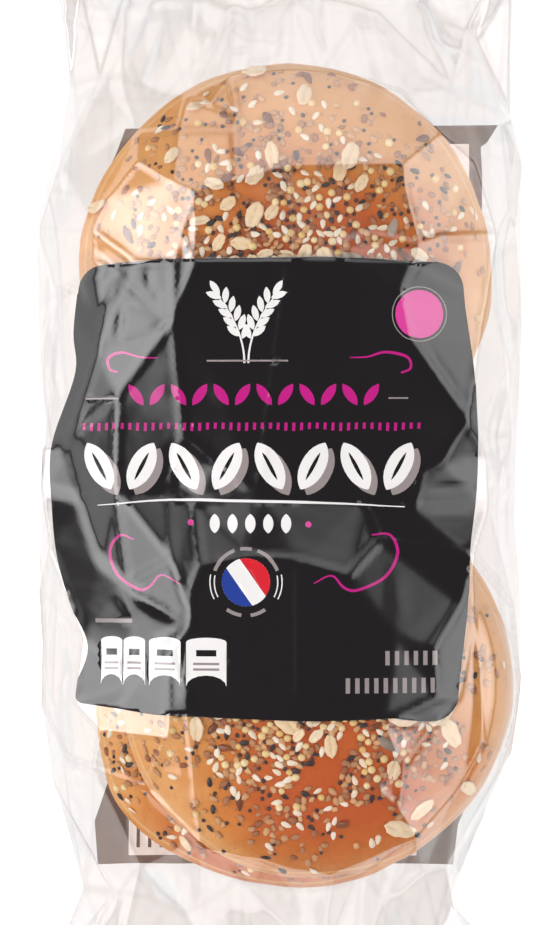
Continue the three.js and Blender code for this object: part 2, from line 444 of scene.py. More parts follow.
def oat_shape(draw):
    """A rolled oat flake: a thin, slightly cupped oval with a groove along its middle and a ragged edge."""
    points, faces = sphere_shape(8, 26)
    length = 7.8 * draw.uniform(0.55, 1.15)
    width = length * draw.uniform(0.48, 0.68)
    angle = np.arctan2(points[:, 1], points[:, 0])
    ragged = 1
    for height, count in ((0.035, 5), (0.045, 9)):
        ragged = ragged + height * np.sin(count * angle + draw.uniform(0, 6))
    ragged *= 1 - 0.16 * draw.uniform(0, 1) * np.exp(-((angle - draw.uniform(-3, 3)) / 0.4) ** 2)
    x = points[:, 0] * ragged * length / 2
    y = points[:, 1] * ragged * width / 2
    thick = 0.6 * (1 - 0.4 * np.sqrt(points[:, 0] ** 2 + points[:, 1] ** 2))
    groove = 0.55 * np.exp(-((y / 0.4) ** 2)) * (np.abs(x) < length * 0.42)
    cup = draw.uniform(-0.02, 0.035) * x ** 2 + draw.uniform(-0.02, 0.06) * y ** 2
    rounding = np.minimum(1, np.abs(points[:, 2]) * 2.2)
    z = np.where(points[:, 2] > 0, thick - groove, -thick) * rounding + cup
    return np.stack([x, y, z], axis=1), faces


def crumb_shape(draw):
    """A cracked piece of grain with uneven faces."""
    points, faces = sphere_shape(4, 6)
    knobs = 1 + draw.uniform(-0.28, 0.22, len(points))
    return points * knobs[:, None] * np.array([1.5, 1.0, 0.65]) * draw.uniform(0.6, 1.05), faces


def seed_shape(length, width, thickness, rings, segments, point):
    """A seed along X, narrower at one end by the share that point says."""
    def shape(draw):
        points, faces = sphere_shape(rings, segments)
        grown = draw.uniform(0.85, 1.12)
        narrowing = 1 - point * (points[:, 0] * 0.5 + 0.5) ** 1.5
        x = points[:, 0] * (length * grown) / 2
        y = points[:, 1] * narrowing * (width * grown) / 2
        z = points[:, 2] * narrowing * (thickness * grown) / 2
        return np.stack([x, y, z], axis=1), faces
    return shape


class Topping(NamedTuple):
    """count: on an upper bun. sink: a share of the thickness. spread: from the dome's middle. apart: spacing.
    by_piece: the share of the colour's change that goes from one piece to the next."""
    name: str
    slot: str
    shape: object
    count: int
    sink: float
    tilt: float
    spread: float
    apart: float
    dark: tuple
    light: tuple
    roughness: float
    grain: float
    by_piece: float = 0.5


TOPPINGS = [
    Topping("oats", "oats", oat_shape, 42, 0.05, 0.3, 0.52, 2.4,
            srgb(236, 198, 146), srgb(255, 240, 212), 0.6, 500, 0.4),
    Topping("sunflower", "seeds", seed_shape(7.6, 3.9, 2.2, 8, 12, 0.7), 3, 0.5, 0.2, 0.42, 2.6,
            srgb(120, 104, 96), srgb(196, 178, 158), 0.5, 400),
    Topping("millet", "seeds", seed_shape(2.1, 2.0, 1.9, 6, 9, 0.0), 130, 0.45, 0.1, 0.43, 0.95,
            srgb(232, 188, 104), srgb(254, 236, 190), 0.4, 600, 0.75),
    Topping("sesame", "seeds", seed_shape(3.0, 1.9, 0.95, 6, 9, 0.5), 175, 0.25, 0.4, 0.46, 0.9,
            srgb(240, 216, 180), srgb(255, 248, 234), 0.45, 500),
    Topping("flax", "seeds", seed_shape(4.4, 2.3, 1.0, 6, 10, 0.6), 22, 0.25, 0.3, 0.45, 1.3,
            srgb(98, 50, 26), srgb(150, 84, 44), 0.25, 500),
    Topping("black_sesame", "seeds", seed_shape(2.7, 1.7, 0.95, 6, 8, 0.5), 52, 0.25, 0.4, 0.48, 1.0,
            srgb(34, 30, 34), srgb(72, 60, 58), 0.4, 500),
    Topping("poppy", "seeds", seed_shape(1.2, 1.1, 1.0, 5, 7, 0.1), 260, 0.4, 0.1, 0.50, 0.45,
            srgb(40, 34, 40), srgb(84, 66, 66), 0.5, 700),
    Topping("cracked_grain", "seeds", crumb_shape, 560, 0.4, 0.5, 0.43, 0.75,
            srgb(140, 66, 34), srgb(236, 186, 132), 0.6, 400, 0.75),
]


def seed_places(draw, kind, bun, taken):
    """Where one kind lies on a dome, as (share of the radius, angle). A lower bun has it near its edge."""
    wanted = kind.count if bun.upper else int(kind.count * LOWER_BUN_SHARE)
    spread = kind.spread * bun.spread if bun.upper else LOWER_SPREAD
    innermost = 0.0 if bun.upper else LOWER_INNERMOST
    places = []
    for _ in range(wanted * TRIES_EACH):
        if len(places) == wanted:
            break
        share = abs(draw.normal(0, spread))
        angle = draw.uniform(0, FULL_TURN)
        if share > OUTERMOST or share < innermost or draw.uniform(0, 1) > (share / FULL_FROM + MIDDLE_SHARE):
            continue
        x = share * bun.radius * math.cos(angle)
        y = share * bun.radius * math.sin(angle)
        if noise.noise(Vector((x, y, bun.radius)) * BARE_SCALE) < BARE_BELOW:
            continue
        near = (
            (x - px) ** 2 + (y - py) ** 2 < (CROWDING * (kind.apart + other)) ** 2 for px, py, other in taken
        )
        if any(near):
            continue
        taken.append((x, y, kind.apart))
        places.append((share, angle))
    return places


def placed_topping(draw, kind, bun, film, share, angle):
    """One grain's points where it lies on a bun, and its faces."""
    points, faces = kind.shape(draw)
    rise = dome_height(share + SLOPE_STEP) - dome_height(share - SLOPE_STEP)
    slope = rise / (2 * SLOPE_STEP * bun.radius)
    up = Vector((-slope * math.cos(angle), -slope * math.sin(angle), 1)).normalized()
    up = (up + Vector(draw.normal(0, kind.tilt * 0.5, 3))).normalized()
    spin = draw.uniform(0, FULL_TURN)
    side = up.cross(Vector((math.cos(spin), math.sin(spin), 0.1))).normalized()
    turn = np.array([side.cross(up), side, up])
    reach = share * bun.radius * float(outline_factor(bun, angle))
    x = bun.x + reach * math.cos(angle)
    y = bun.y + reach * math.sin(angle)
    z = min(bun.base + float(dome_height(share)), film_height(film, x, y) - BUN_UNDER_FILM)
    thickness = points[:, 2].max() - points[:, 2].min()
    placed = points @ turn + np.array([x, y, z]) + np.array(up) * thickness * (0.5 - kind.sink)
    if bun.upper:
        roofs = np.array([film_height(film, px, py) for px, py, _ in placed])
        placed[:, 2] = np.minimum(placed[:, 2], roofs - SEED_UNDER_FILM)
    return placed, faces


def topping_material(kind):
    """A seed's own colour, varied from one to the next and over each."""
    material, tree, shader = new_material(kind.name)
    island = node(tree, "NewGeometry").outputs["Random Per Island"]
    over = noise_value(tree, kind.grain, 2)
    from_piece = maths(tree, "MULTIPLY", island, kind.by_piece)
    over_piece = maths(tree, "MULTIPLY", over, 1 - kind.by_piece)
    blended = maths(tree, "ADD", from_piece, over_piece)
    colour = mix_colour(tree, blended, kind.dark, kind.light)
    set_inputs(tree, shader, {"Base Color": colour, "Roughness": kind.roughness})
    bump(tree, shader, over, 0.3, 0.2)
    return material


def make_toppings(film):
    grains = {kind.name: [] for kind in TOPPINGS}
    for bun in BUNS:
        draw = np.random.RandomState(bun.seed)
        taken = []
        for kind in TOPPINGS:
            for share, angle in seed_places(draw, kind, bun, taken):
                grains[kind.name].append(placed_topping(draw, kind, bun, film, share, angle))
    for kind in TOPPINGS:
        points = [each for each, _ in grains[kind.name]]
        starts = np.cumsum([0] + [len(each) for each in points[:-1]])
        faces = [each + start for (_, each), start in zip(grains[kind.name], starts)]
        material = topping_material(kind)
        add_mesh(kind.name, np.concatenate(points), np.concatenate(faces).tolist(), [material])


# Film's smooth form: a grid with its rows along y and its columns round the pack

COLUMNS = 416
ROWS_BETWEEN_SEALS = 336
ROWS_IN_A_SEAL = 16
SECTION_STEPS = 720
AROUND = (0.5 - np.arange(COLUMNS) / COLUMNS) * GIRTH
# The film sinks where it passes over no bun
SLACK_DEPTH = 6.0
SLACK_REACH = 24.0
HELD_UP = 44.0


def station_values(column, y):
    """One column of the stations at y, as a smooth curve with no overshoot."""
    ys = STATIONS[:, 0]
    values = STATIONS[:, column]
    rise = np.diff(values) / np.diff(ys)
    before, after = rise[:-1], rise[1:]
    same = before * after > 0
    inner = np.where(same, 2 * before * after / np.where(same, before + after, 1), 0)
    slopes = np.concatenate([[0], inner, [0]])
    i = np.clip(np.searchsorted(ys, y, side="left") - 1, 0, len(ys) - 2)
    span = ys[i + 1] - ys[i]
    t = clamp01((y - ys[i]) / span)
    from_start = (1 + 2 * t) * (1 - t) ** 2 * values[i] + t * (1 - t) ** 2 * span * slopes[i]
    from_end = t * t * (3 - 2 * t) * values[i + 1] - t * t * (1 - t) * span * slopes[i + 1]
    return from_start + from_end


def section_side(at, side, count):
    """One side of a cross-section from the back's middle to the front's, as evenly spaced points."""
    turn = np.pi * (np.arange(SECTION_STEPS + 1) / SECTION_STEPS - 0.5)
    in_front = turn > 0
    flatness = clamp01(1 - at["half"] / SQUARE_BELOW) ** 2
    squareness = mix(np.where(in_front, FRONT_SQUARENESS, BACK_SQUARENESS), SEAL_SQUARENESS, flatness)
    outward = np.abs(np.cos(turn)) ** (2 / squareness)
    upward = np.sign(turn) * np.abs(np.sin(turn)) ** (2 / squareness)
    depth = np.where(in_front, at["half"], at["half"] + BACK_SINK * smooth(at["half"] / THIN_FADE - 1))
    z = np.maximum(at["middle"] + depth * upward, at["bottom"])
    tuck = at["tuck"] * np.exp(-(((z - at["middle"]) / (GUSSET_SHARE * at["half"])) ** 2))
    x = side * ((at["right"] if side > 0 else at["left"]) - tuck) * outward
    lengths = np.concatenate([[0], np.cumsum(np.hypot(np.diff(x), np.diff(z)))])
    wanted = np.linspace(0, lengths[-1], count + 1)
    return np.interp(wanted, lengths, x), np.interp(wanted, lengths, z)


def film_rows():
    seal = np.linspace(0, SEAL_BAND, ROWS_IN_A_SEAL + 1)
    between = np.linspace(-SEAL_START, SEAL_START, ROWS_BETWEEN_SEALS + 1)
    return np.concatenate([-END + seal[:-1], between, SEAL_START + seal[1:]])


def film_base():
    """The rows' places, the smooth film's points, and half its thickness at each row."""
    rows = film_rows()
    names = ("left", "right", "top", "bottom", "tuck")
    columns = {name: station_values(i + 1, rows) for i, name in enumerate(names)}
    columns["middle"] = (columns["top"] + columns["bottom"]) / 2
    columns["half"] = (columns["top"] - columns["bottom"]) / 2
    side = COLUMNS // 2
    grid = np.zeros((len(rows), COLUMNS, 3))
    grid[:, :, 1] = rows[:, None]
    for i in range(len(rows)):
        at = {name: values[i] for name, values in columns.items()}
        for axis, right, left in zip((0, 2), section_side(at, 1, side), section_side(at, -1, side)):
            grid[i, : side + 1, axis] = right
            grid[i, side + 1 :, axis] = left[side - 1 : 0 : -1]
    return rows, grid, columns["half"]


def grid_normals(grid):
    along = np.gradient(grid, axis=0)
    around = np.roll(grid, -1, axis=1) - np.roll(grid, 1, axis=1)
    normal = np.cross(along, around)
    return normal / np.maximum(np.linalg.norm(normal, axis=2, keepdims=True), 1e-9)


def slack(grid):
    """How far the film sinks beside the upper buns."""
    away = np.min([np.hypot(grid[:, :, 0] - b.x, grid[:, :, 1] - b.y) for b in BUNS if b.upper], axis=0)
    return SLACK_DEPTH * smooth((away - HELD_UP) / SLACK_REACH)


def column_at(grid, rows, x, y):
    """The film's place round the pack, in millimetres, over the point (x, y)."""
    i = int(np.argmin(np.abs(rows - y)))
    front = np.abs(AROUND) < GIRTH / 4
    xs = grid[i, front, 0]
    order = np.argsort(xs)
    return float(np.interp(x, xs[order], AROUND[front][order]))


def at_place(values, rows, u, v):
    """A grid's value at a place (round, along)."""
    column = ((0.5 - u / GIRTH) * COLUMNS) % COLUMNS
    i = float(np.interp(v, rows, np.arange(len(rows))))
    i0 = min(int(i), len(rows) - 2)
    j0 = int(column) % COLUMNS
    j1 = (j0 + 1) % COLUMNS
    ti, tj = i - i0, column - int(column)
    return mix(mix(values[i0, j0], values[i0, j1], tj), mix(values[i0 + 1, j0], values[i0 + 1, j1], tj), ti)


def window(rows, us, vs, margin=0.0):
    """The grid's rows and columns within the box round some places, and their own places."""
    ii = np.nonzero((rows >= min(vs) - margin) & (rows <= max(vs) + margin))[0]
    jj = np.nonzero((AROUND >= min(us) - margin) & (AROUND <= max(us) + margin))[0]
    u, v = np.meshgrid(AROUND[jj], rows[ii])
    return ii, jj, u, v


# Film's flat facets

# Corners of the facets that the film falls into over its front, as (x, y), numbered from 1. h lies over
# the head stack, m in its middle, r on its right, n and p on the right and left of the dark panel, q in the
# valley and below it, o left of the panel, s on the panel's left edge, t on its right, u on the foot stack,
# and v on the right of it.
CORNER_PLACES = {
    "h": [(-24.5, 97), (-13, 101), (-19, 95), (-11.5, 92), (-12.5, 88), (-11.5, 74.5), (-39, 80.5),
          (-28, 74), (-22, 71.5), (-26.5, 60.5), (-28.5, 53), (-22.5, 53), (-28.5, 38.5), (-49.5, 62),
          (-39, 53.5), (-46.5, 52), (-46.5, 70), (-27.5, 88), (-39, 88.5), (-51.5, 54)],
    "m": [(0.5, 78), (16, 78.5), (31, 78.5), (31.5, 73), (36, 58), (23.5, 60.5), (14.5, 58), (18, 53),
          (34, 53), (2, 53)],
    "r": [(-3, 102.5), (12, 102.5), (29.5, 97.5), (39.5, 86.5), (47.5, 79), (52.5, 60.5), (42, 60),
          (51.5, 43.5), (49.5, 33.5)],
    "n": [(30.5, 46.5), (33, 34.5), (43.5, 14), (38, 3.5), (34, 1), (48.5, 4), (48.5, -8.5), (34, -8.5),
          (22.5, -5.5)],
    "p": [(-42.5, 20), (-53.5, 10), (-47.5, 31), (-56, 6), (-27, 9), (-18.5, 2), (-6.5, -3.5),
          (-30, -3.5), (-42, -3.5), (-54.5, -6)],
    "q": [(26, -16.5), (17, -25.5), (4.5, -22), (-9.5, -20.5), (-21.5, -23), (-24, -29), (-24, -37),
          (-30, -21), (-43, -27), (-48.5, -21.5), (-24.5, -6.5)],
    "o": [(-60, 46), (-61, 8), (-61.5, -30), (-61, -44), (-61, -60), (-56, -74)],
    "s": [(-60.5, 6.5), (-60.5, -4), (-57.5, -19.5), (-50, -41.5), (-52.5, -58.5), (-46, -65.5),
          (-30.5, -67), (-30.5, -45.5)],
    "t": [(46.5, -21), (45.5, -33), (39, -44), (40, -56.5), (45.5, -56.5), (26, -63), (39, -63.5),
          (31, -73.5), (29, -84.5), (24, -79.5), (29, -70.5)],
    "u": [(49, -36.5), (50.5, -51.5), (50.5, -68), (44, -80), (32, -90.5), (4.5, -56.5), (-25.5, -54),
          (12, -99.5), (-20.5, -94.5), (-38, -82), (-47, -76)],
    "v": [(58, -33), (60.5, -53), (58, -72)],
}
CORNERS = {f"{letter}{k}": place for letter, row in CORNER_PLACES.items() for k, place in enumerate(row, 1)}

# Facets: the rise for each millimetre towards +x and towards +y, and the corners in order
FACETS = [
    (0.06, -0.02, "h9 h6 m1 m10 h12"),
    (-0.08, 0.0, "m1 m2 m3 m4 m5 m6 m7 m8 m10"),
    (-0.08, -0.48, "m7 m6 m5 m9 m8"),
    (0.03, 0.16, "h12 m10 p7 p6 p5 h13"),
    (-0.1, 0.16, "m10 m8 m9 n1 n2 n3 n4 n5 n9 p7"),
    (0.38, -0.02, "h7 h8 h9 h10 h11 h15 h14 h17"),
    (0.12, -0.38, "h18 h5 h6 h9 h8"),
    (0.62, -0.55, "h19 h18 h8 h7"),
    (0.2, -0.48, "h1 h4 h5 h18"),
    (0.1, -0.1, "h2 h3 h4"),
    (-0.02, -0.38, "h2 r1 r2 r3 r4 m3 m2 m1 h6 h5 h4"),
    (-0.5, -0.15, "m3 r4 r5 r6 r7 m5 m4"),
    (-0.48, 0.0, "m5 r7 r6 r8 r9 n3 n2 n1 m9"),
    (0.34, -0.05, "h10 h12 h13 h11"),
    (1.1, 0.15, "h14 h15 h16 h20"),
    (0.46, 0.04, "h16 h15 h11 h13 p1 p2 p3"),
    (1.4, 0.0, "h16 p3 p2 o2 o1"),
    (-0.05, 0.16, "h13 p5 p8 p9 p1"),
    (1.05, 0.2, "p1 p9 p10 p4 p2"),
    (0.55, 0.0, "p4 p10 s2 s1"),
    (-0.42, 0.04, "n3 n6 n7 n8 n5 n4"),
    (0.0, -0.6, "p7 n9 q1 q2 q3 q4 q5 q11"),
    (1.05, 0.15, "p10 p9 q9 q10"),
    (0.5, -0.3, "p9 p8 q8 q9"),
    (0.05, -0.4, "p8 q11 q5 q6 q7 q8"),
    (0.15, 0.0, "s2 p10 q10 q9 q7 s8 s7 s6 s5 s4 s3"),
    (-0.1, 0.1, "n9 n8 n7 t1 q1"),
    (-0.1, 0.02, "q1 t1 t2 t3 t4 t6 u6 q3 q2"),
    (0.03, -0.03, "q3 u6 u7 s8 q7 q6 q5 q4"),
    (0.03, 0.1, "u6 t6 t11 t10 t9 u5 u8 u9 u7"),
    (1.35, 0.1, "s3 s4 s5 s6 u11 o6 o5 o4 o3"),
    (0.34, 0.36, "u7 u9 u10 s7 s8"),
    (0.3, 0.5, "s7 u10 u11 s6"),
    (-0.55, 0.0, "t1 u1 t5 t4 t3 t2"),
    (-0.58, -0.1, "t4 t5 t7 t6"),
    (-0.58, -0.1, "t6 t7 t8 t9 t10 t11"),
    (-0.55, 0.0, "t7 t5 u1 u2 u3 u4 u5 t9 t8"),
    (-1.05, 0.0, "t1 v1 v2 v3 u3 u2 u1"),
]
FACET_BIAS = 0.8
FACET_SHARE = 0.96
SMALLEST_FACET = 2.0
# Corners that are left to chance, and the sides of the pack, where their lift is less
SCATTERED = {"seed": 19, "count": 200, "tries": 20000, "apart": 10.5, "longer": 2.2, "lift": (-1.7, 1.7)}
LIFT_AT_SIDES = 0.4
SIDE_FROM = 68
SIDE_TO = 124
SIDE_FADE = 14
# The corners go on this far past the seam, so that the facets meet there
PAST_SEAM = 60
BORDER_CORNERS = 40
# Lifts are solved for the slopes, and held back from steep film and from the domes below
SLOPE_WEIGHT = 22.0
LIFT_WEIGHT = 0.06
STEEP_WEIGHT = 3.5
FIRM_WEIGHT = 3.0
FIRM_ROUNDS = 5
CORNER_CLEARANCE = 1.5
CLEARANCE_MISSED = 0.05
NOT_NEEDED = -99.0
STEEP_BELOW = 0.72
FRONT_ABOVE = 0.3
LIFT_LIMIT = 6.0
STEEP_LIMIT = 1.0
LIMIT_FADE = 0.35
RIDGE_HEIGHT = 0.5
RIDGE_HALF_WIDTH = 1.3


def scattered_corners(taken):
    """Facet corners (round, along, lift) that are left to chance. They lie further apart along the pack."""
    draw = np.random.RandomState(SCATTERED["seed"])
    apart, longer = SCATTERED["apart"], SCATTERED["longer"]
    found = []
    for _ in range(SCATTERED["tries"]):
        u = draw.uniform(-HALF_GIRTH, HALF_GIRTH)
        v = draw.uniform(-SEAL_START, SEAL_START)
        beside = float(smooth((abs(u) - SIDE_FROM) / SIDE_FADE) * smooth((SIDE_TO - abs(u)) / SIDE_FADE))
        lift = draw.uniform(*SCATTERED["lift"]) * mix(1.0, LIFT_AT_SIDES, beside)
        near = taken + [(a, b) for a, b, _ in found]
        if any((u - a) ** 2 + ((v - b) / longer) ** 2 < apart ** 2 for a, b in near):
            continue
        found.append((u, v, lift))
        if len(found) == SCATTERED["count"]:
            break
    return found


def facet_of(centre, outlines):
    """Which facet a triangle's centre lies in, or -1."""
    return next((k for k, outline in enumerate(outlines) if inside(outline, centre)[0]), -1)


def facet_triangles(grid, rows):
    """Corners' places (round, along), their start lifts, the triangles, the facet of each, and the ridges."""
    names = list(CORNERS)
    front = [(column_at(grid, rows, x, y), float(y)) for x, y in CORNERS.values()]
    wrapped = [(u, v, FACET_BIAS) for u, v in front] + scattered_corners(front)
    reach = HALF_GIRTH + PAST_SEAM
    shifted = [(u + shift, v, lift) for u, v, lift in wrapped for shift in (-GIRTH, GIRTH)]
    wrapped += [corner for corner in shifted if abs(corner[0]) < reach]
    border = np.linspace(-reach, reach, BORDER_CORNERS)
    wrapped += [(u, v, 0.0) for u in border for v in (-SEAL_START, SEAL_START)]
    edges = set()
    outlines = []
    for _, _, text in FACETS:
        order = [names.index(name) for name in text.split()]
        outlines.append([front[k] for k in order])
        edges |= {tuple(sorted((a, b))) for a, b in zip(order, order[1:] + order[:1])}
    flat = [Vector((u, v)) for u, v, _ in wrapped]
    points, _, triangles, origin, _, _ = delaunay_2d_cdt(flat, sorted(edges), [], 0, 1e-4)
    points = np.array([tuple(p) for p in points])
    lifts = np.array([wrapped[o[0]][2] if o else FACET_BIAS for o in origin])
    kinds = [facet_of(points[list(t)].mean(0)[None, :], outlines) for t in triangles]
    ridges = [(front[a], front[b]) for a, b in sorted(edges)]
    return points, lifts, triangles, kinds, ridges


def dome_roof(x, y):
    """The height that a corner needs over the upper buns at (x, y), or 0 beside them."""
    roof = np.zeros_like(x)
    for bun in BUNS:
        if bun.upper:
            share = np.hypot(x - bun.x, y - bun.y) / bun.radius
            over = bun.base + dome_height(share) + CORNER_CLEARANCE
            roof = np.where(share < 1, np.maximum(roof, over), roof)
    return roof


def slope_rows(base, normals, triangles, kinds):
    """One equation for each named facet's triangle and direction: its corners' lifts give it its slope."""
    lines = []
    wanted = []
    for triangle, kind in zip(triangles, kinds):
        a, b, c = (base[k] for k in triangle)
        area = (b[0] - a[0]) * (c[1] - a[1]) - (c[0] - a[0]) * (b[1] - a[1])
        if kind < 0 or abs(area) < SMALLEST_FACET:
            continue
        to_x = np.array([b[1] - c[1], c[1] - a[1], a[1] - b[1]]) / area
        to_y = np.array([c[0] - b[0], a[0] - c[0], b[0] - a[0]]) / area
        heights = np.array([a[2], b[2], c[2]])
        for slope, gradient in zip(FACETS[kind][:2], (to_x, to_y)):
            line = np.zeros(len(base))
            for k, share in zip(triangle, gradient):
                line[k] += share * normals[k][2]
            lines.append(line * SLOPE_WEIGHT)
            wanted.append((slope - gradient @ heights) * SLOPE_WEIGHT)
    return lines, wanted


def solved_lifts(base, normals, lifts, triangles, kinds):
    """Lifts that give each named facet its slope as nearly as shared corners allow, clear of the domes."""
    lines, wanted = slope_rows(base, normals, triangles, kinds)
    upward = normals[:, 2]
    weights = LIFT_WEIGHT + STEEP_WEIGHT * np.maximum(0.0, STEEP_BELOW - upward)
    lines = np.array(lines + list(np.diag(weights)))
    wanted = np.array(wanted + list(lifts * weights))
    below_roof = dome_roof(base[:, 0], base[:, 1]) - base[:, 2]
    needed = np.where(upward > FRONT_ABOVE, below_roof / np.maximum(upward, FRONT_ABOVE), NOT_NEEDED)
    held = np.zeros(len(base), dtype=bool)
    for _ in range(FIRM_ROUNDS):
        firm = np.where(held, FIRM_WEIGHT, 0.0)
        system = np.concatenate([lines, np.diag(firm)])
        solved = np.linalg.lstsq(system, np.concatenate([wanted, needed * firm]), rcond=None)[0]
        held |= solved < needed - CLEARANCE_MISSED
    return solved


def ridge_lift(rows, ridges):
    """Thin raised lines where the named facets meet."""
    lift = np.zeros((len(rows), COLUMNS))
    for (u0, v0), (u1, v1) in ridges:
        ii, jj, u, v = window(rows, (u0, u1), (v0, v1), RIDGE_HALF_WIDTH)
        length = max((u1 - u0) ** 2 + (v1 - v0) ** 2, 1e-6)
        t = clamp01(((u - u0) * (u1 - u0) + (v - v0) * (v1 - v0)) / length)
        away = np.hypot(u - u0 - t * (u1 - u0), v - v0 - t * (v1 - v0))
        line = RIDGE_HEIGHT * np.maximum(0, 1 - away / RIDGE_HALF_WIDTH)
        lift[np.ix_(ii, jj)] = np.maximum(lift[np.ix_(ii, jj)], line)
    return lift


def faceted(grid, rows, normals, free):
    """The film as flat facets between its corners, blended with the smooth form, and where its ridges run."""
    points, lifts, triangles, kinds, ridges = facet_triangles(grid, rows)
    base, ways, loose = (
        np.array([at_place(each, rows, u, v) for u, v in points]) for each in (grid, normals, free)
    )
    lifts = solved_lifts(base, ways, lifts, triangles, kinds)
    limit = mix(STEEP_LIMIT, LIFT_LIMIT, smooth((ways[:, 2] - LIMIT_FADE) / LIMIT_FADE))
    places = base + ways * (np.clip(lifts, -limit, limit) * loose)[:, None]
    shaped = grid.copy()
    for triangle in triangles:
        (ax, ay), (bx, by), (cx, cy) = points[list(triangle)]
        area = (bx - ax) * (cy - ay) - (cx - ax) * (by - ay)
        if abs(area) < 1e-9:
            continue
        ii, jj, u, v = window(rows, (ax, bx, cx), (ay, by, cy))
        wb = ((u - ax) * (cy - ay) - (cx - ax) * (v - ay)) / area
        wc = ((bx - ax) * (v - ay) - (u - ax) * (by - ay)) / area
        wa = 1 - wb - wc
        r, c = np.nonzero((wa >= -1e-6) & (wb >= -1e-6) & (wc >= -1e-6))
        weights = np.stack([wa[r, c], wb[r, c], wc[r, c]], axis=1)
        shaped[ii[r], jj[c]] = weights @ places[list(triangle)]
    shaped = grid + (shaped - grid) * (FACET_SHARE * free)[:, :, None]
    shaped[:, :, 1] = mix(grid[:, :, 1], shaped[:, :, 1], 0.5)
    return shaped, ridge_lift(rows, ridges)


# Film's creases and pleats, as folds: middle (round, along), turn, reach, half width and height

FINE = {"seed": 5, "count": 300, "sunk": 0.4, "reach": (6.0, 26.0), "spread": (1.6, 4.5),
        "height": (0.10, 0.5)}
FINE_ON_FRONT = 0.25
PLEATS = {"seed": 7, "across": 9, "span": 108.0, "along": (106.0, 122.0), "reach": (14.0, 26.0),
          "spread": (4.0, 9.0), "height": (0.4, 1.0), "fan": 0.7, "sway": 0.2}
CREASE_REACH = 0.55

# Creases over the panel: both ends as (x, y), half width and height
CREASES = [
    ((-45.9, 51.9), (-30.8, 39.3), 1.2, -0.5),
    ((-50.9, 47.9), (-30.0, 38.8), 1.2, -0.35),
    ((-35.8, 52.5), (-35.1, 46.0), 1.3, -0.6),
    ((-34.0, 46.4), (-32.5, 42.6), 1.2, -0.5),
    ((-42.9, 43.6), (-43.9, 33.8), 1.7, -0.7),
    ((-34.6, 36.8), (-28.8, 38.6), 1.4, -0.5),
    ((-47.2, 31.3), (-33.3, 35.0), 1.2, -0.3),
    ((-45.1, -29.2), (-42.5, -35.5), 1.2, -0.6),
    ((-43.4, -29.2), (-27.0, -36.3), 2.6, -0.9),
    ((-34.5, -42.3), (-27.8, -38.8), 1.3, -0.5),
    ((-41.4, -42.0), (-42.8, -52.5), 1.2, -0.4),
    ((-33.6, -40.0), (-34.8, -47.0), 1.2, -0.4),
    ((30.2, 47.0), (36.4, 54.0), 1.3, -0.5),
    ((37.3, 32.5), (43.6, 18.7), 1.3, -0.4),
    ((36.0, -3.3), (47.3, -3.3), 1.3, -0.5),
    ((39.0, 3.2), (46.0, -1.6), 1.2, -0.35),
]


def panel_creases(grid, rows):
    """The creases over the panel as folds."""
    folds = []
    for (x0, y0), (x1, y1), spread, height in CREASES:
        u0 = column_at(grid, rows, x0, y0)
        u1 = column_at(grid, rows, x1, y1)
        reach = CREASE_REACH * math.hypot(u1 - u0, y1 - y0)
        folds.append(((u0 + u1) / 2, (y0 + y1) / 2, math.atan2(y1 - y0, u1 - u0), reach, spread, height))
    return folds


def fine_folds():
    """Small creases all over the film."""
    draw = np.random.RandomState(FINE["seed"])
    folds = []
    for _ in range(FINE["count"]):
        sign = -1 if draw.uniform() < FINE["sunk"] else 1
        u, v = draw.uniform(-HALF_GIRTH, HALF_GIRTH), draw.uniform(-SEAL_START, SEAL_START)
        turn = draw.uniform(0, math.pi)
        reach, spread = draw.uniform(*FINE["reach"]), draw.uniform(*FINE["spread"])
        folds.append((u, v, turn, reach, spread, sign * draw.uniform(*FINE["height"])))
    return folds


def end_pleats():
    """Pleats that fan out from both seals, in front and behind."""
    draw = np.random.RandomState(PLEATS["seed"])
    folds = []
    for end in (-1, 1):
        for in_front in (True, False):
            for i in range(PLEATS["across"]):
                across = PLEATS["span"] * ((i + draw.uniform()) / PLEATS["across"] - 0.5)
                u = across if in_front else math.copysign(HALF_GIRTH - abs(across), across)
                along = end * draw.uniform(*PLEATS["along"])
                sway = draw.uniform(-PLEATS["sway"], PLEATS["sway"])
                turn = math.pi / 2 - end * across / PLEATS["span"] * PLEATS["fan"] + sway
                reach, spread = draw.uniform(*PLEATS["reach"]), draw.uniform(*PLEATS["spread"])
                sign = -1 if i % 2 else 1
                folds.append((u, along, turn, reach, spread, sign * draw.uniform(*PLEATS["height"])))
    return folds


def fold_lift(rows, folds):
    """How far folds lift the film over its grid."""
    u, v = np.meshgrid(AROUND, rows)
    lift = np.zeros_like(u)
    for cu, cv, turn, reach, spread, height in folds:
        du = (u - cu + HALF_GIRTH) % GIRTH - HALF_GIRTH
        dv = v - cv
        across = -du * math.sin(turn) + dv * math.cos(turn)
        lengthways = du * math.cos(turn) + dv * math.sin(turn)
        over_width = np.maximum(0, 1 - np.abs(across) / spread)
        over_length = np.maximum(0, 1 - (lengthways / reach) ** 2)
        lift += height * over_width * over_length
    return lift


# Film over the buns, and the finished film

CLEARANCE = 1.2
SAG = 4.0
SAG_FROM = 0.7
SAG_FADE = 0.22
WALL_CLEARANCE = 0.8
WALL_OVER_WAIST = 3
WALL_INNERMOST = 0.55
TOP_FADE = 0.8
FLOOR_FROM = 112
FLOOR_RISE = 8
FRONT_TO = 90
FRONT_END = 112
FRONT_FADE = 20
FRONT_END_FADE = 12
RIB_HEIGHT = 0.4
RIB_PITCH = 2.25
TOOTH_DEPTH = 1.4
HALF_TOOTH = 4
# Bends that set the painted shade along the film's creases
CREASE_FULL = 0.07
CREASE_FROM = 0.25
FILM_MIRROR = 0.13
FILM_CLEAR = (0.95, 0.944, 0.943, 1)
# Painted shade: the film lets less light through where it is sharply creased
FILM_CREASE_SHADE = (0.875, 0.862, 0.862, 1)


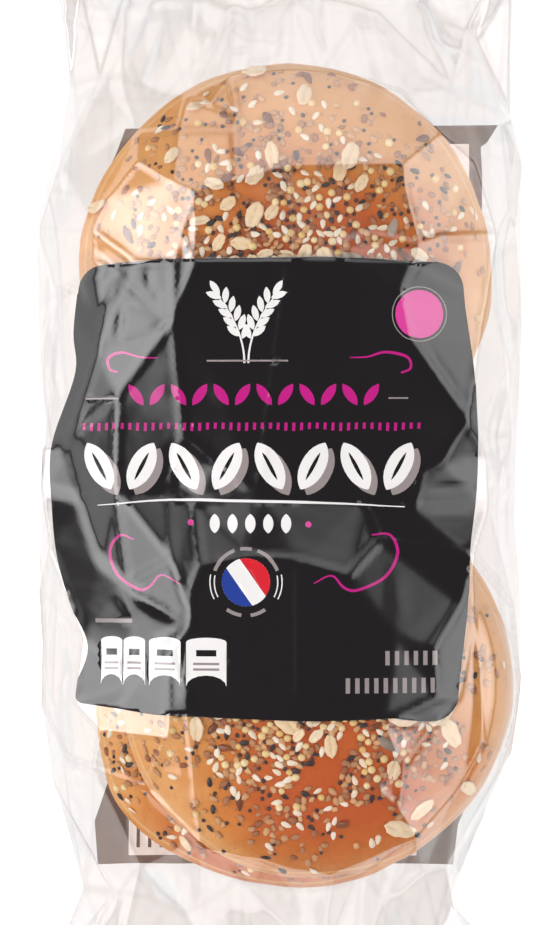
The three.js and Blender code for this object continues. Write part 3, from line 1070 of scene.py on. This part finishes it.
def clear_of_buns(grid):
    """Pushes the film out to where it clears the buns and their toppings."""
    for bun in BUNS:
        offset = grid[:, :, :2] - np.array([bun.x, bun.y])
        away = np.linalg.norm(offset, axis=2)
        if bun.upper:
            z = grid[:, :, 2]
            share = away / bun.radius
            sag = SAG * (1 - smooth((share - SAG_FROM) / SAG_FADE))
            roof = bun.base + dome_height(share) + CLEARANCE - sag
            under_roof = (share < 1.0) & (z > bun.base + WAIST) & (z < roof)
            grid[:, :, 2] = np.where(under_roof, roof, z)
        level = grid[:, :, 2] - bun.base
        over_waist = clamp01((level - WAIST) / (BUN_HEIGHT - WAIST))
        dome_share = np.maximum(1 - over_waist ** DOME_POWER, 0) ** (1 / DOME_POWER)
        under_waist = clamp01((WAIST - level) / WAIST)
        angle = np.arctan2(offset[:, :, 1], offset[:, :, 0]) % FULL_TURN
        reach = bun.radius * outline_factor(bun, angle)
        rounded = reach - UNDER_ROUND * (1 - np.sqrt(1 - under_waist ** 2))
        wall = np.where(level > WAIST, reach * dome_share, rounded) + WALL_CLEARANCE
        beside = (level > 0) & (level < BUN_HEIGHT) & (away < wall) & (away > bun.radius * WALL_INNERMOST)
        if bun.upper:
            beside &= level <= WAIST + WALL_OVER_WAIST
        push = np.where(beside, wall / np.maximum(away, 1), 1.0)
        grid[:, :, 0] = bun.x + offset[:, :, 0] * push
        grid[:, :, 1] = bun.y + offset[:, :, 1] * push


def relax(grid, rounds, amount, free):
    """Rounds the film's creases a little."""
    for _ in range(rounds):
        middle = (np.roll(grid, 1, axis=1) + np.roll(grid, -1, axis=1)) / 2
        middle[1:-1] = (middle[1:-1] + (grid[2:] + grid[:-2]) / 2) / 2
        grid = grid + (middle - grid) * (amount * free)[:, :, None]
    return grid


def film_grid():
    """The rows' places and the film's points before its seals are crimped."""
    rows, base, half = film_base()
    thin = smooth((half - SEAL_LAYER) / THIN_FADE)[:, None]
    heights = base[:, :, 2]
    bottom = heights.min(1)[:, None]
    middle = (heights.max(1)[:, None] + bottom) / 2
    top_share = smooth((heights - middle) / (TOP_FADE * np.maximum(half, 1))[:, None])
    sunk = base + grid_normals(base) * (-slack(base) * top_share * thin)[:, :, None]
    normals = grid_normals(sunk)
    around = np.abs(AROUND)[None, :]
    on_floor = smooth((around - FLOOR_FROM) / FRONT_FADE) * (1 - smooth(bottom / FLOOR_RISE))
    free = thin * (1 - on_floor)
    shaped, ridges = faceted(sunk, rows, normals, free)
    in_front = smooth((FRONT_TO - around) / FRONT_FADE)
    on_front = in_front * smooth((FRONT_END - np.abs(rows)) / FRONT_END_FADE)[:, None]
    fine = fold_lift(rows, fine_folds()) * mix(1.0, FINE_ON_FRONT, on_front)
    lift = fold_lift(rows, end_pleats()) + fine
    shaped = relax(shaped + normals * (lift * free)[:, :, None], 2, 0.6, free)
    clear_of_buns(shaped)
    ridges = ridges + fold_lift(rows, panel_creases(sunk, rows))
    shaped = relax(shaped + normals * (ridges * free)[:, :, None], 1, 0.35, free)
    shaped[:, :, 2] = np.maximum(shaped[:, :, 2], 0)
    return rows, shaped


def crimp_seals(rows, grid):
    """Ribs across both sealed bands, and a zigzag cut at both edges."""
    rib = RIB_HEIGHT * np.sin(FULL_TURN * rows / RIB_PITCH) * smooth((np.abs(rows) - SEAL_START + 1) / 2)
    grid[:, :, 2] += rib[:, None]
    column = np.arange(COLUMNS) + COLUMNS // 4
    tooth = np.abs(column % (2 * HALF_TOOTH) - HALF_TOOTH) / HALF_TOOTH * TOOTH_DEPTH
    for i in range(HALF_TOOTH):
        inward = tooth * (1 - i / HALF_TOOTH)
        grid[i, :, 1] += inward
        grid[-1 - i, :, 1] -= inward


def sharpness(grid):
    """How sharply the film bends at each point, from 0 to 1, which sets the painted shade along the film's
    creases.
    """
    round_middle = (np.roll(grid, 1, axis=1) + np.roll(grid, -1, axis=1)) / 2
    along_middle = grid.copy()
    along_middle[1:-1] = (grid[2:] + grid[:-2]) / 2
    bend = np.linalg.norm(grid - round_middle, axis=2) + np.linalg.norm(grid - along_middle, axis=2)
    return clamp01(bend / CREASE_FULL - CREASE_FROM)


def end_faces(start):
    """Faces across one end of the tube, from its front to its back."""
    faces = []
    for j in range(COLUMNS // 2):
        corners = dict.fromkeys((j, j + 1, COLUMNS - j - 1, (COLUMNS - j) % COLUMNS))
        faces.append([start + k for k in corners])
    return faces


def make_film(material):
    """Makes the film, and returns its surface for rays to meet."""
    rows, grid = film_grid()
    crimp_seals(rows, grid)
    index = np.arange(len(rows) * COLUMNS).reshape(len(rows), COLUMNS)
    here, ahead = index[:-1], index[1:]
    quads = np.stack([here, ahead, np.roll(ahead, -1, axis=1), np.roll(here, -1, axis=1)], axis=2)
    head = [corners[::-1] for corners in end_faces(index[-1, 0].item())]
    faces = quads.reshape(-1, 4).tolist() + end_faces(0) + head
    points = grid.reshape(-1, 3)
    piece = add_mesh("film", points, faces, [material])
    # Painted shade along the film's sharp creases, for its material to read
    set_values(piece.data, "crease_shade", sharpness(grid).ravel())
    return BVHTree.FromPolygons(points.tolist(), faces)


def film_material():
    """A clear sheet: it lets light straight through, apart from what its two faces mirror. Its sharp creases
    get painted shade: they let less light through.
    """
    material, tree, shader = new_material("film")
    facing = node(tree, "LayerWeight", {"Blend": 0.5}).outputs["Facing"]
    grazing = maths(tree, "MULTIPLY", maths(tree, "POWER", facing, 4.0), 0.75)
    mirrored = maths(tree, "ADD", grazing, FILM_MIRROR, True)
    set_inputs(tree, shader, {"Base Color": (0.95, 0.94, 0.94, 1), "Metallic": 1.0, "Roughness": 0.13})
    # Painted shade: the clear colour turns darker at sharp creases
    crease_shaded_tint = mix_colour(tree, attribute(tree, "crease_shade"), FILM_CLEAR, FILM_CREASE_SHADE)
    clear = node(tree, "BsdfTransparent", {"Color": crease_shaded_tint})
    sheet = node(tree, "MixShader", {0: mirrored, 1: clear.outputs[0], 2: shader.outputs["BSDF"]})
    attach(tree, sheet.outputs[0], tree.nodes["Material Output"].inputs["Surface"])
    cloudy_bump(tree, shader)
    return material


# Print: outlines on the film, and how they are laid on it

PRINT_LIFT = 0.25
PRINT_STEP = 1.1
PANEL_LEFT = [
    (-52.0, 48.0), (-53.2, 36.0), (-52.7, 26.0), (-58.2, 11.0), (-59.7, 3.5), (-59.4, -6.5),
    (-57.7, -21.5), (-53.7, -34.0), (-49.4, -44.0), (-52.7, -54.0),
]
PANEL_RIGHT = [
    (45.9, 45.0), (48.4, 28.5), (49.2, 18.5), (49.7, 6.0), (49.2, -6.5), (47.7, -19.0),
    (47.2, -31.5), (45.9, -44.0), (44.6, -54.0),
]
PANEL_TOP_LEFT = 53.1
PANEL_TOP_RIGHT = 53.5
PANEL_TOP = [(-30.0, 54.2), (10.0, 54.6)]
PANEL_FOOT_LEFT = -58.6
PANEL_FOOT_RIGHT = -62.5
PANEL_FOOT = [(4.5, -62.2), (-31.0, -61.0)]
PANEL_CORNER = 7.0
FOOT_LEFT_CORNER = 2.0
BACK_LEFT = [
    (-42.0, 92.5), (-44.5, 86.0), (-49.5, 75.0), (-49.5, 20.0), (-47.5, -60.0), (-46.0, -81.0),
    (-50.0, -93.0), (-49.0, -104.0),
]
BACK_RIGHT = [
    (57.5, 93.0), (54.8, 88.6), (53.2, 87.5), (53.6, 80.0), (53.5, 71.0), (50.5, 38.0), (50.5, -22.0),
    (53.0, -60.0), (52.0, -82.0), (47.0, -94.0), (45.5, -104.0),
]
# How brightly the back's white boxes glow: painted light
PAINTED_GLOW = 0.62
INKS = {
    "black": srgb(24, 20, 23),
    "white": srgb(238, 234, 233),
    "grey": srgb(150, 138, 138),
    "magenta": srgb(190, 26, 128),
    "pink": srgb(214, 62, 150),
    "blue": srgb(36, 62, 150),
    "red": srgb(214, 34, 48),
    "faded": srgb(140, 134, 140),
    # The back boxes' white, which glows with painted light
    "glowing_white": srgb(238, 234, 233),
}
BLACK, WHITE, GREY, MAGENTA, PINK, BLUE, RED, FADED, GLOWING_WHITE = range(len(INKS))


def ink_material(name, colour):
    """Printed film: glossy, with faint cloudiness. The white ink of the back's boxes glows by itself: painted
    light, in place of the floor's light through thin ink.
    """
    material, tree, shader = new_material("print_" + name)
    darker = tuple(c * 0.8 for c in colour[:3]) + (1,)
    set_inputs(tree, shader, {
        "Base Color": mix_colour(tree, noise_value(tree, 60, 3), darker, colour),
        "Roughness": 0.16,
        "Specular IOR Level": 0.85,
        "Emission Color": colour,
        # Painted light: only the back boxes' white ink glows
        "Emission Strength": PAINTED_GLOW if name == "glowing_white" else 0.0,
    })
    cloudy_bump(tree, shader)
    return material


def smooth_line(points, per_span=6):
    """A curve through points, as a Catmull-Rom line."""
    points = [np.array(p, dtype=float) for p in points]
    ends = [2 * points[0] - points[1]] + points + [2 * points[-1] - points[-2]]
    line = []
    for i in range(1, len(ends) - 2):
        a, b, c, d = ends[i - 1 : i + 3]
        for t in np.linspace(0, 1, per_span, endpoint=False):
            squared = (2 * a - 5 * b + 4 * c - d) * t ** 2
            cubed = (3 * b - a - 3 * c + d) * t ** 3
            line.append(0.5 * (2 * b + (c - a) * t + squared + cubed))
    line.append(points[-1])
    return line


def oval(x, y, across, up, angles):
    """Points of an oval at some angles."""
    return [(x + across * math.cos(a), y + up * math.sin(a)) for a in angles]


def disc(x, y, radius, steps=40):
    return oval(x, y, radius, radius, np.linspace(0, FULL_TURN, steps, endpoint=False))


def lozenge(x, y, length, width, turn, power=1.0, steps=20):
    """A grain of wheat: an oval with pointed ends, turned by degrees."""
    t = math.radians(turn)
    outline = []
    for a in np.linspace(0, FULL_TURN, steps, endpoint=False):
        px = math.cos(a) * length / 2
        py = math.copysign(abs(math.sin(a)) ** (1 + power * abs(math.cos(a))), math.sin(a)) * width / 2
        outline.append((x + px * math.cos(t) - py * math.sin(t), y + px * math.sin(t) + py * math.cos(t)))
    return outline


def stroke(points, widths):
    """A line with a width that changes along it, as an outline."""
    points = np.array(points, dtype=float)
    widths = np.interp(np.linspace(0, 1, len(points)), np.linspace(0, 1, len(widths)), widths)
    tangent = np.gradient(points, axis=0)
    tangent /= np.maximum(np.linalg.norm(tangent, axis=1, keepdims=True), 1e-9)
    across = np.stack([-tangent[:, 1], tangent[:, 0]], axis=1) * widths[:, None] / 2
    return [tuple(p) for p in np.concatenate([points + across, (points - across)[::-1]])]


def bar(x0, y0, x1, y1, width):
    return stroke([(x0, y0), ((x0 + x1) / 2, (y0 + y1) / 2), (x1, y1)], [width, width])


def arc(x, y, radius, start, end, width):
    return stroke(oval(x, y, radius, radius, np.radians(np.linspace(start, end, 14))), [width, width])


def rectangle(x0, y0, x1, y1):
    return [(x0, y0), (x1, y0), (x1, y1), (x0, y1)]


def wheat_ear(x, y, length, lean):
    """A plain ear of wheat: a curved stalk with paired grains and a tip."""
    def along(t):
        return x + lean * t * t * length * EAR_BEND, y + t * length

    outlines = [stroke([along(t) for t in np.linspace(0, 1, 12)], [0.5, 0.35])]
    for t in np.linspace(0.42, 0.95, 5):
        cx, cy = along(t)
        for side in (-1, 1):
            turn = 90 - lean * EAR_TURN * t - side * EAR_TURN
            outlines.append(lozenge(cx + side * GRAIN_OUT, cy + GRAIN_UP, *GRAIN_SIZE, turn))
    tip_x, tip_y = along(1.0)
    return outlines + [lozenge(tip_x + lean * TIP_OUT, tip_y + TIP_UP, *TIP_SIZE, 90 - lean * EAR_TURN)]


def panel_outline():
    """The dark panel: straight at its head and foot, wavy at its sides, with rounded corners."""
    def corner(x, y, radius, start):
        angles = np.linspace(start, start - math.pi / 2, 8)
        return oval(x, y, radius, radius, angles)

    c, r = PANEL_CORNER, FOOT_LEFT_CORNER
    left = smooth_line(PANEL_LEFT)
    right = smooth_line(PANEL_RIGHT)
    head_left = corner(left[0][0] + c, PANEL_TOP_LEFT - c, c, math.pi)
    head_right = corner(right[0][0] - c, PANEL_TOP_RIGHT - c, c, math.pi / 2)
    foot_right = corner(right[-1][0] - c, PANEL_FOOT_RIGHT + c, c, 0)
    foot_left = corner(left[-1][0] + r, PANEL_FOOT_LEFT + r, r, -math.pi / 2)
    head = head_left + PANEL_TOP + head_right
    foot = foot_right + PANEL_FOOT + foot_left
    return head + right[1:-1] + foot + left[-2:0:-1]


def painted_triangles(shapes):
    """The printed area as flat triangles with an ink each. The first shape is the area under the others."""
    points = []
    edges = []
    for outline, _ in shapes:
        first = len(points)
        points += [Vector((float(x), float(y))) for x, y in outline]
        edges += [(first + k, first + (k + 1) % len(outline)) for k in range(len(outline))]
    area, ground = shapes[0]
    low, high = np.min(area, axis=0), np.max(area, axis=0)
    xs = np.arange(low[0], high[0], PRINT_STEP)
    ys = np.arange(low[1], high[1], PRINT_STEP)
    fill = np.array([(x + (0.5 * PRINT_STEP if k % 2 else 0), y) for k, y in enumerate(ys) for x in xs])
    points += [Vector(place) for place in fill[inside(area, fill)].tolist()]
    flat, _, triangles, _, _, _ = delaunay_2d_cdt(points, edges, [], 0, 1e-3)
    flat = np.array([tuple(p) for p in flat])
    triangles = np.array(triangles)
    centres = flat[triangles].mean(1)
    paint = np.full(len(triangles), -1)
    paint[inside(area, centres)] = ground
    for outline, ink in shapes[1:]:
        paint[(paint >= 0) & inside(outline, centres)] = ink
    used, kept = np.unique(triangles[paint >= 0], return_inverse=True)
    return flat[used], kept.reshape(-1, 3), paint[paint >= 0]


def make_print(name, shapes, film, materials, from_above):
    """A printed area as one mesh that lies on the film, where a ray from its own side meets the film."""
    flat, triangles, paint = painted_triangles(shapes)
    start = ABOVE_ALL if from_above else BELOW_ALL
    way = Vector((0, 0, -1 if from_above else 1))
    placed = []
    met = []
    for x, y in flat:
        place, normal, _, _ = film.ray_cast(Vector((x, y, start)), way)
        met.append(place is not None)
        if place is None:
            placed.append((x, y, 0.0))
            continue
        outward = -normal if normal.dot(way) > 0 else normal
        placed.append(tuple(place + outward * PRINT_LIFT))
    whole = np.array(met)[triangles].all(1)
    faces = triangles[whole] if from_above else triangles[whole][:, ::-1]
    piece = add_mesh(name, placed, faces.tolist(), materials)
    piece.data.polygons.foreach_set("material_index", paint[whole].astype(np.int32))


# Print: what is on the front and the back. Places are (x, y) in millimetres.

WHEAT_FOOT = 28.0
WHEAT_LENGTH = 17.0
EAR_BEND = 0.45
EAR_TURN = 38
GRAIN_OUT = 1.5
GRAIN_UP = 0.9
GRAIN_SIZE = (4.2, 1.7)
TIP_OUT = 0.6
TIP_UP = 1.9
TIP_SIZE = (4.4, 1.7)
LEAF_SIZE = (6.6, 2.5)
LARGE_GRAIN_SIZE = (13.4, 6.2)
LARGE_GRAIN_SLOT = (8.0, 1.0)
LARGE_GRAIN_Y = 2.0
SHADOW_RIGHT = 1.6
SHADOW_Y = 0.6
SMALL_GRAIN_SIZE = (4.9, 2.6)
BLUNT = 0.6
SMALL_CURLS = [
    [(-31.5, 29.4), (-36, 29.6), (-40.5, 30.8), (-44, 29.4), (-43.6, 26.6), (-41.6, 25.8)],
    [(17.0, 29.4), (21.5, 29.6), (26, 30.8), (31.5, 29.6), (32.4, 26.8), (30.0, 25.6)],
]
LARGE_CURLS = [
    [(-26, -27.6), (-30.5, -25.6), (-33.5, -28.6), (-36.5, -29.3), (-42, -25.6), (-43.8, -19.6),
     (-41.2, -15.6), (-37.6, -16.6)],
    [(8, -27.6), (12.5, -25.6), (15.5, -28.6), (19, -29.3), (26, -26.0), (29.2, -20.0),
     (27.2, -15.4), (22.6, -15.4)],
]
DISC = (34.6, 40.4)
LEAVES_Y = 20.1
LEAF_RULES_Y = 19.2
WHITE_RULE = [(-47, -8.0), (-28, -6.6), (-8, -6.9), (12, -7.4), (31, -8.3)]
ROUNDEL = (-9.1, -27.3)
ROUNDEL_RADIUS = 6.1
ROUNDEL_LEAN = math.radians(35)
STRIPE_HALF = 0.34
TABS = ((-46.0, -40.5), (-40.2, -34.6), (-33.6, -25.6), (-24.2, -14.0))
TAB_TOP = -42.4
TAB_FOOT = -53.6
TAB_LINES = ((BLACK, -45.2, 0.5, 1.6), (GREY, -47.9, 0.65, 0.6), (GREY, -49.3, 0.65, 0.6))
BACK_BOXES = ((-41, -102, -3, -78), (0, -102, 36, -84), (-40, -66, 44, 56), (-36, 62, 50.2, 88.4))
# Rows of lines across the back: from x, to x, from y, to y, step, width and ink
BACK_LINES = (
    (3, 33, -99.5, -86, 2.4, 0.6, FADED),
    (-36, 40, -61, 53, 4.6, 0.8, GREY),
    (-30, 38, 66, 84, 4.2, 0.8, GREY),
)


def spaced(first, last, count):
    return [mix(first, last, k / (count - 1)) for k in range(count)]


def front_shapes():
    """What is printed on the dark panel: plain ornaments in the colours and scale of the pack's print."""
    shapes = [(panel_outline(), BLACK)]

    def add(ink, *outlines):
        shapes.extend((outline, ink) for outline in outlines)

    # Two ears of wheat on a line, with curls beside them
    for x, lean in ((-9.5, -0.9), (-8.5, 0.9)):
        add(WHITE, *wheat_ear(x, WHEAT_FOOT, WHEAT_LENGTH, lean))
    add(GREY, bar(-19.0, 28.6, 1.5, 28.6, 0.45))
    add(MAGENTA, *[stroke(smooth_line(points, 5), [0.25, 0.75, 0.5]) for points in SMALL_CURLS])
    # Disc at the upper right
    add(GREY, disc(*DISC, 7.0))
    add(BLACK, disc(*DISC, 6.75))
    add(PINK, disc(*DISC, 6.1))
    # Row of leaves between two rules
    for k, x in enumerate(spaced(-37.0, 22.5, 12)):
        add(MAGENTA, lozenge(x, LEAVES_Y, *LEAF_SIZE, 55 if k % 2 else 125))
    for x0, x1 in ((-50.0, -41.5), (26.8, 31.8)):
        add(GREY, bar(x0, LEAF_RULES_Y, x1, LEAF_RULES_Y, 0.4))
    # Thin row of short bars
    for k, x in enumerate(spaced(-50.5, 34.5, 44)):
        add(MAGENTA, bar(x, 11.2 - 0.3 * math.sin(k), x + 0.1, 13.0, 0.75))
    # Large white grains over grey shadows
    grains = [(x, 62 if k % 2 else 118) for k, x in enumerate(spaced(-46.5, 29.5, 8))]
    for x, turn in grains:
        add(GREY, lozenge(x + SHADOW_RIGHT, SHADOW_Y, *LARGE_GRAIN_SIZE, turn, BLUNT, 28))
    for x, turn in grains:
        add(WHITE, lozenge(x, LARGE_GRAIN_Y, *LARGE_GRAIN_SIZE, turn, BLUNT, 28))
        add(BLACK, lozenge(x, LARGE_GRAIN_Y, *LARGE_GRAIN_SLOT, turn, BLUNT, 16))
    # White rule, and a short row between two dots
    add(WHITE, stroke(smooth_line(WHITE_RULE), [0.2, 0.7, 0.7, 0.2]))
    add(WHITE, *[lozenge(x, -12.6, *SMALL_GRAIN_SIZE, 90, BLUNT) for x in spaced(-17.0, 1.0, 5)])
    add(PINK, disc(-23.1, -12.3, 0.8, 12), disc(6.6, -12.8, 0.8, 12))
    # Large curls
    add(MAGENTA, *[stroke(smooth_line(points, 5), [0.3, 0.6, 0.75, 0.8, 0.4]) for points in LARGE_CURLS])
    # Striped roundel with arcs round it
    add(WHITE, disc(*ROUNDEL, ROUNDEL_RADIUS))
    edge = math.acos(STRIPE_HALF)
    for ink, turn in ((BLUE, ROUNDEL_LEAN + math.pi), (RED, ROUNDEL_LEAN)):
        add(ink, oval(*ROUNDEL, ROUNDEL_RADIUS, ROUNDEL_RADIUS, np.linspace(-edge, edge, 16) + turn))
    for start, end in ((20, 70), (80, 100), (110, 160), (235, 262), (278, 305)):
        add(GREY, arc(*ROUNDEL, 8.4, start, end, 0.9))
    for start, end in ((-28, 12), (168, 208)):
        add(WHITE, arc(*ROUNDEL, 8.0, start, end, 0.3), arc(*ROUNDEL, 9.1, start, end, 0.3))
    # Four tabs with plain lines, and a line over them
    for x0, x1 in TABS:
        middle = (x0 + x1) / 2
        half = (x1 - x0) / 2
        halfway = np.linspace(0, math.pi, 9)
        add(WHITE, oval(middle, TAB_TOP, half, 1.1, halfway) + oval(middle, TAB_FOOT, -half, 2.8, halfway))
        for ink, y, share, width in TAB_LINES:
            add(ink, bar(middle - half * share, y, middle + half * share, y, width))
    add(GREY, bar(-47.5, -37.4, -38.0, -37.4, 1.0))
    # Two short rows at the lower right
    add(GREY, *[bar(x, -44.6, x, -48.2, 1.1) for x in spaced(26.5, 38.5, 6)])
    add(GREY, *[bar(x, -51.4, x, -55.2, 1.1) for x in spaced(16.5, 38.0, 10)])
    return shapes


def back_shapes():
    """The dark back panel, with plain white boxes and rows of plain lines."""
    shapes = [(BACK_LEFT[::-1] + BACK_RIGHT, FADED)]
    # The white boxes glow with painted light
    shapes += [(rectangle(*corners), GLOWING_WHITE) for corners in BACK_BOXES]
    shapes += [(bar(x, -100, x, -80, 0.9), FADED) for x in np.arange(-38.5, -5, 3.1)]
    for x0, x1, y0, y1, step, width, ink in BACK_LINES:
        shapes += [(bar(x0, y, x1, y, width), ink) for y in np.arange(y0, y1, step)]
    return shapes


# Floor, light and camera, in metres and degrees

FLOOR_HALF = 3.0
FLOOR_LEVEL = -0.0004
BOX_DISTANCE = 1.2
BOX_AIM = 0.05
BOX_WIDTH = 1.25
BOX_AT_EDGE = 0.4
BOX_RISE = 1.35
# mirrored: gloss shows the box
BOXES = {
    "head": {"azimuth": 90.0, "lean": 52.0, "height": 1.5, "radiance": 1.05, "mirrored": True},
    "left": {"azimuth": 180.0, "lean": 57.0, "height": 1.22, "radiance": 2.8, "mirrored": True},
    "right": {"azimuth": 0.0, "lean": 57.0, "height": 1.15, "radiance": 1.6, "mirrored": True},
    "foot": {"azimuth": -90.0, "lean": 48.0, "height": 0.8, "radiance": 2.6, "mirrored": False},
}
WORLD_STRENGTH = 0.12
# The camera's place, and how much of the pack's length the picture takes in at one height, in millimetres
CAMERA_PLACE = (-1.3, 2.9, 1250.0)
MEASURED_HEIGHT = 60.0
FRAME_HEIGHT = 236.8


def make_floor():
    mesh = bpy.data.meshes.new("floor")
    corners = rectangle(-FLOOR_HALF, -FLOOR_HALF, FLOOR_HALF, FLOOR_HALF)
    mesh.from_pydata([(x, y, FLOOR_LEVEL) for x, y in corners], [], [(0, 1, 2, 3)])
    floor = bpy.data.objects.new("floor", mesh)
    bpy.context.scene.collection.objects.link(floor)
    material, tree, shader = new_material("floor")
    set_inputs(tree, shader, {
        "Base Color": (0.25, 0.25, 0.25, 1),
        "Roughness": 0.9,
        "Specular IOR Level": 0.0,
        "Emission Color": (1, 1, 1, 1),
        "Emission Strength": 0.86,
    })
    mesh.materials.append(material)


def dim_edges(light):
    """Makes a soft box brightest in its middle."""
    light.use_nodes = True
    tree = light.node_tree
    place = node(tree, "SeparateXYZ", {0: node(tree, "NewGeometry").outputs["Parametric"]})
    falls = []
    for axis in ("X", "Y"):
        off = maths(tree, "SUBTRACT", place.outputs[axis], 0.5)
        squared = maths(tree, "MULTIPLY", off, off)
        falls.append(maths(tree, "SUBTRACT", 1.0, maths(tree, "MULTIPLY", squared, 4.0)))
    rise = maths(tree, "MULTIPLY", maths(tree, "MULTIPLY", *falls), BOX_RISE)
    attach(tree, maths(tree, "ADD", rise, BOX_AT_EDGE), tree.nodes["Emission"].inputs["Strength"])


def soft_box(name, azimuth, lean, height, radiance, mirrored):
    """A soft box that leans over the pack from one side. Its radiance is that of its surface."""
    lean = math.radians(lean)
    turn = math.radians(azimuth)
    away = Vector((math.sin(lean) * math.cos(turn), math.sin(lean) * math.sin(turn), math.cos(lean)))
    light = bpy.data.lights.new("box_" + name, "AREA")
    light.shape = "RECTANGLE"
    light.size = BOX_WIDTH
    light.size_y = height
    light.energy = radiance * math.pi * BOX_WIDTH * height
    dim_edges(light)
    lamp = bpy.data.objects.new("box_" + name, light)
    lamp.location = away * BOX_DISTANCE + Vector((0, 0, BOX_AIM))
    lamp.rotation_euler = away.to_track_quat("Z", "Y").to_euler()
    lamp.visible_glossy = mirrored
    bpy.context.scene.collection.objects.link(lamp)


def make_lights():
    for name, box in BOXES.items():
        soft_box(name, **box)
    world = bpy.data.worlds.new("world")
    world.use_nodes = True
    background = world.node_tree.nodes["Background"]
    background.inputs["Color"].default_value = (1, 1, 1, 1)
    background.inputs["Strength"].default_value = WORLD_STRENGTH
    bpy.context.scene.world = world


def make_camera():
    """A camera that looks straight down."""
    camera = bpy.data.cameras.new("camera")
    camera.sensor_fit = "AUTO"
    camera.angle = 2 * math.atan(FRAME_HEIGHT / 2 / (CAMERA_PLACE[2] - MEASURED_HEIGHT))
    holder = bpy.data.objects.new("camera", camera)
    holder.location = Vector(CAMERA_PLACE) * MM
    bpy.context.scene.collection.objects.link(holder)
    bpy.context.scene.camera = holder
    bpy.context.scene.view_settings.view_transform = "Standard"


film = make_film(film_material())
crust = crust_material()
for bun in BUNS:
    make_bun(bun, film, crust)
make_toppings(film)
inks = [ink_material(name, colour) for name, colour in INKS.items()]
make_print("front_print", front_shapes(), film, inks, True)
make_print("back_print", back_shapes(), film, inks, False)
make_floor()
make_lights()
make_camera()
